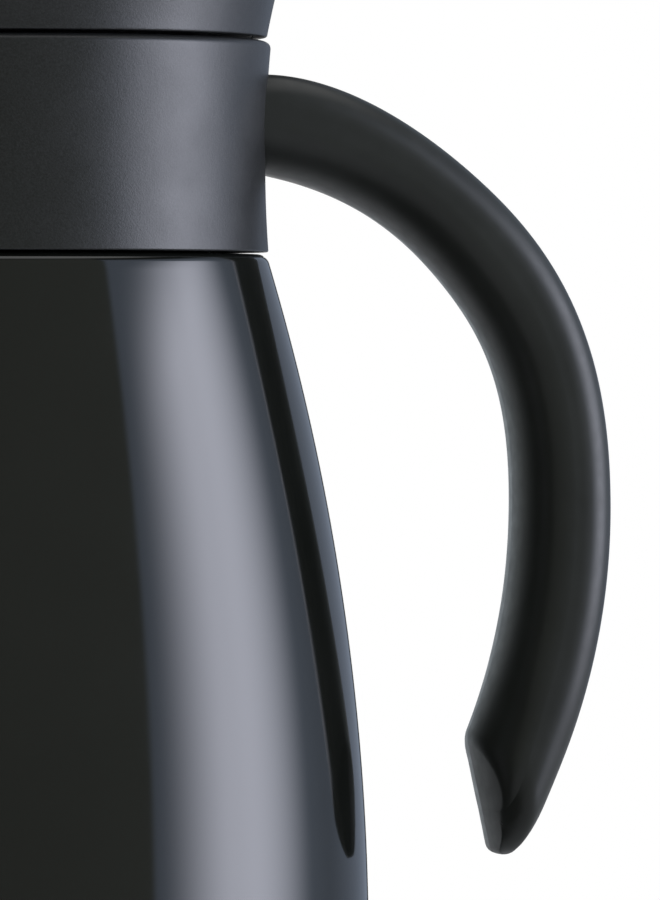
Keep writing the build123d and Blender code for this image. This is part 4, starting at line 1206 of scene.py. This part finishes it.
def lid():
    """Flared lid ring with its pouring lip, deck, well and pour channel."""
    side_bottom_z = LID_BOTTOM_Z + 0.6
    side_h = LID_RIM_Z - RIM_H - side_bottom_z
    side = [side_bottom_z + side_h * step / 36 for step in range(37)]
    outer = [(lid_radius(z), z, lip_growth(z)) for z in side]
    rim = []
    for step in range(1, 13):
        turn = pi * step / 12
        middle = lid_radius(LID_RIM_Z - RIM_H) - LID_WALL / 2
        z = LID_RIM_Z - RIM_H + RIM_H * sin(turn)
        grown = lip_growth(z) if step < 5 else lip_growth(LID_RIM_Z) * max(0.0, (8 - step) / 4)
        rim.append((middle + LID_WALL / 2 * cos(turn), z, grown))
    shelf_r = lid_radius(COVER_SEAT_Z) - LID_WALL
    inside = rounded(
        [
            (lid_radius(LID_RIM_Z - 1.4) - LID_WALL, LID_RIM_Z - 1.4),
            (shelf_r, COVER_SEAT_Z, 0.3),
            (shelf_r - 2.2, COVER_SEAT_Z, 0.3),
            (shelf_r - 2.2, COVER_SEAT_Z - 1.4, 0.3),
            (lid_radius(221.0) - LID_WALL, 221.0, 0.5),
            (lid_radius(DECK_TOP_Z) - LID_WALL, DECK_TOP_Z, 1.2),
            (0.0, DECK_TOP_Z),
        ],
        closed=False,
    )
    under = rounded(
        [
            (0.0, PLUG_TOP_Z),
            (PLUG_FLANGE_R + 0.2, PLUG_TOP_Z, 0.3),
            (PLUG_FLANGE_R + 0.2, LID_BOTTOM_Z, 0.3),
            (LID_BOTTOM_R, LID_BOTTOM_Z, 0.45),
            (lid_radius(side_bottom_z), side_bottom_z),
        ],
        closed=False,
    )
    outline = outer + rim + inside + under[:-1]
    form = lathe("lid_shell_form", outline, FINE_SEGMENTS, lip_reach)
    ring = rounded(
        [
            (WELL_R, DECK_TOP_Z - 0.5),
            (WELL_R + 2.0, DECK_TOP_Z - 0.5),
            (WELL_R + 2.0, CHANNEL_COVER_Z, 0.2),
            (WELL_R, CHANNEL_COVER_Z, 0.2),
        ]
    )
    well = lathe("well", ring, SMALL_SEGMENTS)
    gate = box_outline(-20.0, 0.0, -CHANNEL_HALF, CHANNEL_HALF)
    cut_prism(well, gate, DECK_TOP_Z - 1.0, LID_RIM_Z + 2.0)
    combine(form, well, "UNION")
    for way in (-1, 1):
        y0, y1 = sorted((way * CHANNEL_HALF, way * (CHANNEL_HALF + CHANNEL_WALL)))
        low_wall = box_outline(-40.0, -10.0, y0, y1)
        weld_prism(form, low_wall, DECK_TOP_Z - 0.5, CHANNEL_COVER_Z)
        high_wall = box_outline(-49.0, -NOTCH_X, y0, y1)
        weld_prism(form, high_wall, DECK_TOP_Z - 0.5, COVER_SEAT_Z)
    combine(form, lip_trough(), "DIFFERENCE")
    holes = [circle_outline(0.0, 0.0, TUBE_R, 64)]
    holes += [circle_outline(x, y, SCREW_CORE_R + 0.25, 20) for x, y in screw_places()]
    for hole in holes:
        cut_prism(form, hole, PLUG_TOP_Z - 0.5, DECK_TOP_Z + 0.5)
    dress(form, "lid_shell")


def top_cover():
    """Domed cover with the button's hole, trim seat and pour opening."""
    edge = (COVER_R, COVER_SEAT_Z + COVER_T)
    middle = (36.5, 229.4)
    crown = (BUTTON_HOLE_R, COVER_CROWN_Z)
    dome = [p for p in arc_through(edge, middle, crown, 40) if p[0] > TRIM_R + 0.5]
    inner_r = BUTTON_HOLE_R + 1.6
    below = arc_through(
        (inner_r, crown[1] - COVER_T), (middle[0], middle[1] - COVER_T), (COVER_R, COVER_SEAT_Z), 24
    )
    corners = [(*edge, 0.5)] + dome[1:]
    corners += [
        (TRIM_R, COVER_CROWN_Z - 0.25, 0.25),
        (TRIM_R, TRIM_Z, 0.1),
        (BUTTON_HOLE_R, TRIM_Z, 0.2),
        (BUTTON_HOLE_R, COVER_COLLAR_Z, 0.3),
        (inner_r, COVER_COLLAR_Z, 0.3),
        (inner_r, crown[1] - COVER_T, 0.4),
    ]
    corners += below[1:-1] + [(COVER_R, COVER_SEAT_Z, 0.3)]
    form = lathe("lid_top_cover_form", rounded(corners), FINE_SEGMENTS)
    width = CHANNEL_HALF + CHANNEL_WALL
    wall = box_outline(-48.0, -NOTCH_X + CHANNEL_WALL, -width, width, 1.2)
    weld_prism(form, wall, COVER_SEAT_Z, COVER_SEAT_Z + COVER_T)
    notch = box_outline(-60.0, -NOTCH_X, -CHANNEL_HALF, CHANNEL_HALF, 1.6)
    cut_prism(form, notch, COVER_SEAT_Z - 1.0, COVER_SEAT_Z + 10.0)
    dress(form, "lid_top_cover")


def trim_ring():
    """Bright ring round the button."""
    crown = arc_through((BUTTON_HOLE_R, 231.9), (18.7, 232.5), (TRIM_R, COVER_CROWN_Z), 14)
    corners = [(*crown[0], 0.15)] + crown[1:-1] + [(*crown[-1], 0.15)]
    corners += [(TRIM_R, TRIM_Z, 0.1), (BUTTON_HOLE_R, TRIM_Z, 0.1)]
    turned_piece("button_trim_ring", rounded(corners))


def pour_cover():
    """Cover of the pour channel, with the valve stem's guide."""
    plate_top_z = CHANNEL_COVER_Z + CHANNEL_COVER_T
    outline = circle_outline(0.0, 0.0, WELL_R + 2.0, 96)
    form = prism("channel_cover_form", outline, CHANNEL_COVER_Z, plate_top_z)
    width = CHANNEL_HALF + CHANNEL_WALL
    plate = box_outline(-NOTCH_X, 0.0, -width, width, 0.4)
    weld_prism(form, plate, CHANNEL_COVER_Z, plate_top_z)
    flap = box_outline(-NOTCH_X, -NOTCH_X + CHANNEL_WALL, -width, width, 0.4)
    weld_prism(form, flap, CHANNEL_COVER_Z, COVER_SEAT_Z)
    guide = circle_outline(0.0, 0.0, 5.4, 48)
    weld_prism(form, guide, CHANNEL_COVER_Z, STEM_GUIDE_TOP_Z)
    bore = circle_outline(0.0, 0.0, STEM_R + RUN_GAP, 40)
    cut_prism(form, bore, CHANNEL_COVER_Z - 1.0, STEM_GUIDE_TOP_Z + 1.0)
    seal_seat = circle_outline(0.0, 0.0, 4.2, 48)
    cut_prism(form, seal_seat, CHANNEL_COVER_Z - 1.0, CHANNEL_COVER_Z + 1.7)
    dress(form, "channel_cover")


def push_cap():
    """Push button with a dished top and a boss for the stem."""
    under_z = BUTTON_TOP_Z - BUTTON_TOP_T
    dish = arc_through(
        (0.0, BUTTON_TOP_Z - 0.9), (8.0, BUTTON_TOP_Z - 0.68), (DISH_R, BUTTON_TOP_Z), 14
    )
    corners = dish[:-1] + [
        (DISH_R, BUTTON_TOP_Z - 0.004),
        (BUTTON_R, BUTTON_TOP_Z, 1.5),
        (BUTTON_R, BUTTON_SKIRT_Z, 0.3),
        (BUTTON_R - BUTTON_WALL, BUTTON_SKIRT_Z, 0.3),
        (BUTTON_R - BUTTON_WALL, under_z, 0.5),
        (5.0, under_z, 0.3),
        (5.0, 226.5, 0.3),
        (STEM_R, 226.5, 0.2),
        (STEM_R, STEM_TOP_Z, 0.1),
        (0.0, STEM_TOP_Z),
    ]
    turned_piece("push_button", rounded(corners, closed=False))


def stem():
    """Valve stem with a threaded blind hole at its foot."""
    foot = VALVE_TOP_Z + STEM_INTO_DISC
    outline = rounded(
        [
            (0.0, foot + 8.0),
            (SCREW_CORE_R, foot + 8.0),
            (SCREW_CORE_R, foot, 0.2),
            (STEM_R, foot, 0.3),
            (STEM_R, STEM_TOP_Z, 0.5),
            (0.0, STEM_TOP_Z),
        ],
        closed=False,
    )
    turned_piece("valve_stem", outline, PIN_SEGMENTS)


def valve():
    """Valve disc, its silicone seal and the screw that holds them."""
    top = VALVE_TOP_Z
    bottom = top - VALVE_T
    bore = SCREW_CORE_R + 0.15
    hub_r = VALVE_SEAL_INNER_R - 0.1
    disc = rounded(
        [
            (bore, bottom, 0.2),
            (VALVE_R + 0.4, bottom, 0.8),
            (VALVE_R + 0.4, top, 0.3),
            (hub_r, top, 0.2),
            (hub_r, top + STEM_INTO_DISC, 0.3),
            (bore, top + STEM_INTO_DISC, 0.2),
        ]
    )
    turned_piece("valve_disc", disc, SMALL_SEGMENTS)
    seal = rounded(
        [
            (VALVE_SEAL_INNER_R, top, 0.3),
            (VALVE_R, top, 0.4),
            (VALVE_R, top + VALVE_SEAL_T, 0.5),
            (VALVE_SEAL_INNER_R, top + VALVE_SEAL_T, 0.3),
        ]
    )
    turned_piece("valve_gasket", seal, SMALL_SEGMENTS)
    screw = rounded(
        [
            (0.0, bottom - 1.1),
            (1.3, bottom - 1.1, 0.1),
            (1.5, bottom - 1.8, 0.1),
            (3.0, bottom - 1.8, 0.7),
            (3.0, bottom, 0.1),
            (SCREW_CORE_R, bottom),
            (SCREW_CORE_R, bottom + 9.0, 0.3),
            (0.0, bottom + 9.0),
        ],
        closed=False,
    )
    turned_piece("valve_screw", screw, PIN_SEGMENTS)


def coil_spring():
    """Compression spring under the button."""
    seat_z = CHANNEL_COVER_Z + CHANNEL_COVER_T
    under_z = BUTTON_TOP_Z - BUTTON_TOP_T
    low = seat_z + SPRING_WIRE_R + SPRING_PLAY
    high = under_z - SPRING_WIRE_R - SPRING_PLAY
    steps = 72 * SPRING_TURNS
    ring = 12
    climb = (high - low) / (2 * pi * SPRING_TURNS)
    rows, vertices = [], []
    for step in range(steps + 1):
        share = step / steps
        angle = 2 * pi * SPRING_TURNS * share
        middle = Vector((SPRING_R * cos(angle), SPRING_R * sin(angle), low + (high - low) * share))
        out = Vector((cos(angle), sin(angle), 0.0))
        along = Vector((-SPRING_R * sin(angle), SPRING_R * cos(angle), climb)).normalized()
        up = along.cross(out) * -1
        rows.append(list(range(len(vertices), len(vertices) + ring)))
        for index in range(ring):
            turn = 2 * pi * index / ring
            vertices.append(tuple(middle + SPRING_WIRE_R * (out * cos(turn) + up * sin(turn))))
    piece = swept("button_spring_form", rows, vertices)
    dress(piece, "button_spring")
    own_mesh(piece)


outer_wall()
inner_wall()
foot_cup()
rubber_foot()
collar()
neck_seal_ring()
thread_ring()
handle_half("handle_left_half", -1)
handle_half("handle_right_half", 1)
plug()
plug_seal()
lid()
top_cover()
trim_ring()
pour_cover()
push_cap()
stem()
valve()
coil_spring()


# ---- studio ----
class Sky(NodeTree):
    """Node tree of the studio: soft boxes and reflectors as directions of light."""

    def __init__(self):
        world = bpy.data.worlds.new("studio")
        bpy.context.scene.world = world
        world.use_nodes = True
        self.tree = world.node_tree
        self.tree.nodes.clear()

    def sum(self, operation, *values):
        """One math node."""
        made = self.node("ShaderNodeMath", operation=operation)
        for value, socket in zip(values, made.inputs):
            self.put(value, socket)
        return made.outputs[0]

    def rise(self, value, low, high):
        """Smooth step from 0 at low to 1 at high."""
        made = self.node("ShaderNodeMapRange", interpolation_type="SMOOTHSTEP")
        self.put(value, made.inputs["Value"])
        self.put(low, made.inputs["From Min"])
        self.put(high, made.inputs["From Max"])
        return made.outputs["Result"]

    def fall(self, value, low, high):
        """Smooth step from 1 at low to 0 at high."""
        return self.sum("SUBTRACT", 1.0, self.rise(value, low, high))

    def product(self, *values):
        """The values multiplied together."""
        result = values[0]
        for value in values[1:]:
            result = self.sum("MULTIPLY", result, value)
        return result

    def beam(self, mask, strength, colour):
        """Light of a strength and colour, where the mask is above nought."""
        made = self.node("ShaderNodeVectorMath", operation="SCALE")
        made.inputs[0].default_value = colour
        self.put(self.product(mask, strength), made.inputs["Scale"])
        return made.outputs[0]

    def add_colours(self, *colours):
        """The colours added together."""
        result = colours[0]
        for colour in colours[1:]:
            made = self.node("ShaderNodeVectorMath", operation="ADD")
            self.put(result, made.inputs[0])
            self.put(colour, made.inputs[1])
            result = made.outputs[0]
        return result


# Directions are in degrees: turn from the camera's side to its right, and height
# above the horizon. Each pair is where a light starts or stops, softly.
KEY_START = (48.0, 51.0)
KEY_END = (168.0, 171.0)
KEY_TOP = (34.0, 46.0)
CORE_RISE = (50.0, 79.0)
CORE_FALL = (85.0, 117.0)
CORE_TOP = (22.0, 31.0)
FAR_FLANK = (100.0, 130.0)
FRONT_TOP = (40.0, 60.0)
LEFT_SIDE = (30.0, 60.0)
LEFT_TOP = (40.0, 55.0)
BACK_LEFT = (118.0, 158.0)
BACK_EDGE = (172.0, 174.0)
PAPER_START = (173.0, 175.0)
PAPER_TOP = (15.0, 25.0)
TOP_START = (50.0, 62.0)
CORE_LIGHT = 6.4
FLANK_LIGHT = 1.0
FAR_FLANK_LIGHT = 0.38
FRONT_LIGHT = 0.33
PAPER_LIGHT = 1.2
LEFT_LIGHT = 0.12
BACK_LEFT_LIGHT = 1.0
TOP_LIGHT = 1.6
WHITE = (1.0, 1.0, 1.0)
COOL_WHITE = (0.96, 0.97, 1.10)
BLUE_WHITE = (0.82, 0.96, 1.22)
WARM_WHITE = (0.98, 1.03, 0.93)
LEFT_WHITE = (0.88, 1.0, 1.15)
BACK_WHITE = (0.90, 1.0, 1.08)
DEGREES = 180 / pi
VIEW_TURN = 12.0  # the handle points this far away from the picture's plane


def build_studio():
    """White paper to the camera; soft boxes and reflectors to everything else.

    The directions are turned with the camera, so that they are the same in its view.
    """
    sky = Sky()
    seen = sky.node("ShaderNodeVectorRotate", rotation_type="Z_AXIS")
    sky.put(sky.node("ShaderNodeTexCoord").outputs["Generated"], seen.inputs["Vector"])
    seen.inputs["Angle"].default_value = radians(VIEW_TURN)
    parts = sky.node("ShaderNodeSeparateXYZ")
    sky.put(seen.outputs[0], parts.inputs[0])
    x, y, z = parts.outputs
    turn = sky.product(sky.sum("ARCTAN2", x, sky.product(y, -1.0)), DEGREES)
    height = sky.product(sky.sum("ARCSINE", z), DEGREES)
    to_left = sky.product(turn, -1.0)
    side = sky.sum("ABSOLUTE", turn)
    key_side = sky.product(sky.rise(turn, *KEY_START), sky.fall(turn, *KEY_END))
    key = sky.product(key_side, sky.fall(height, *KEY_TOP))
    core = sky.product(
        sky.rise(turn, *CORE_RISE), sky.fall(turn, *CORE_FALL), sky.fall(height, *CORE_TOP)
    )
    near_flank = sky.product(sky.fall(turn, *FAR_FLANK), FLANK_LIGHT - FAR_FLANK_LIGHT)
    flank = sky.sum("ADD", FAR_FLANK_LIGHT, near_flank)
    paper = sky.product(sky.rise(side, *PAPER_START), sky.fall(height, *PAPER_TOP))
    ahead_of_back = sky.fall(to_left, *BACK_LEFT)
    front = sky.product(
        sky.fall(turn, *KEY_START), sky.fall(height, *FRONT_TOP), ahead_of_back
    )
    left = sky.product(
        sky.rise(to_left, *LEFT_SIDE), ahead_of_back, sky.fall(height, *LEFT_TOP)
    )
    back_left = sky.product(
        sky.rise(to_left, *BACK_LEFT), sky.fall(side, *BACK_EDGE), sky.fall(height, *LEFT_TOP)
    )
    light = sky.add_colours(
        sky.beam(sky.product(key, core), CORE_LIGHT, COOL_WHITE),
        sky.beam(key, flank, BLUE_WHITE),
        sky.beam(paper, PAPER_LIGHT, WHITE),
        sky.beam(front, FRONT_LIGHT, WARM_WHITE),
        sky.beam(left, LEFT_LIGHT, LEFT_WHITE),
        sky.beam(back_left, BACK_LEFT_LIGHT, BACK_WHITE),
        sky.beam(sky.rise(height, *TOP_START), TOP_LIGHT, WHITE),
    )
    lit = sky.node("ShaderNodeBackground")
    sky.put(light, lit.inputs["Color"])
    paper_white = sky.node("ShaderNodeBackground")
    paper_white.inputs["Color"].default_value = (1.0, 1.0, 1.0, 1.0)
    choose = sky.node("ShaderNodeMixShader")
    sky.put(sky.node("ShaderNodeLightPath").outputs["Is Camera Ray"], choose.inputs[0])
    sky.put(lit.outputs[0], choose.inputs[1])
    sky.put(paper_white.outputs[0], choose.inputs[2])
    out = sky.node("ShaderNodeOutputWorld")
    sky.put(choose.outputs[0], out.inputs["Surface"])


FLOOR_R = 720.0
FLOOR_FADE = (0.30, 0.70)  # metres from the axis
FLOOR_RINGS = 24


def build_floor():
    """Pale round floor that fades into the white studio."""
    rings = [(FLOOR_R * ring / FLOOR_RINGS, 0.0) for ring in range(FLOOR_RINGS + 1)]
    floor = lathe("floor", rings + [(FLOOR_R, -4.0), (0.0, -4.0)])
    shader = Shader("pale_floor")
    shader.colour(shader.noise(40, 4), (0.60, 0.60, 0.60), (0.63, 0.63, 0.63))
    shader.roughness(shader.noise(150, 3), 0.55, 0.65)
    distance = shader.node("ShaderNodeVectorMath", operation="LENGTH")
    shader.put(shader.place, distance.inputs[0])
    clear = shader.node("ShaderNodeBsdfTransparent")
    mix = shader.node("ShaderNodeMixShader")
    shader.put(shader.spread(distance.outputs["Value"], 0.0, 1.0, *FLOOR_FADE), mix.inputs[0])
    shader.put(shader.surface.outputs[0], mix.inputs[1])
    shader.put(clear.outputs[0], mix.inputs[2])
    shader.put(mix.outputs[0], shader.tree.nodes["Material Output"].inputs["Surface"])
    floor.data.materials.append(shader.material)


CAMERA_X = 0.0611
CAMERA_BACK = 1.8
CAMERA_Z = 0.148
AIM_Z = 0.1283
LENS = 381.6


def build_camera():
    """Long lens, a little above the middle of the picture and looking slightly down."""
    data = bpy.data.cameras.new("camera")
    data.lens = LENS
    data.sensor_width = 36.0
    camera = bpy.data.objects.new("camera", data)
    bpy.context.scene.collection.objects.link(camera)
    view_turn = Matrix.Rotation(radians(-VIEW_TURN), 3, "Z")
    camera.location = view_turn @ Vector((CAMERA_X, -CAMERA_BACK, CAMERA_Z))
    aim = view_turn @ Vector((CAMERA_X, 0.0, AIM_Z))
    camera.rotation_euler = (aim - camera.location).to_track_quat("-Z", "Y").to_euler()
    bpy.context.scene.camera = camera


build_studio()
build_floor()
build_camera()
bpy.context.scene.view_settings.view_transform = "Standard"
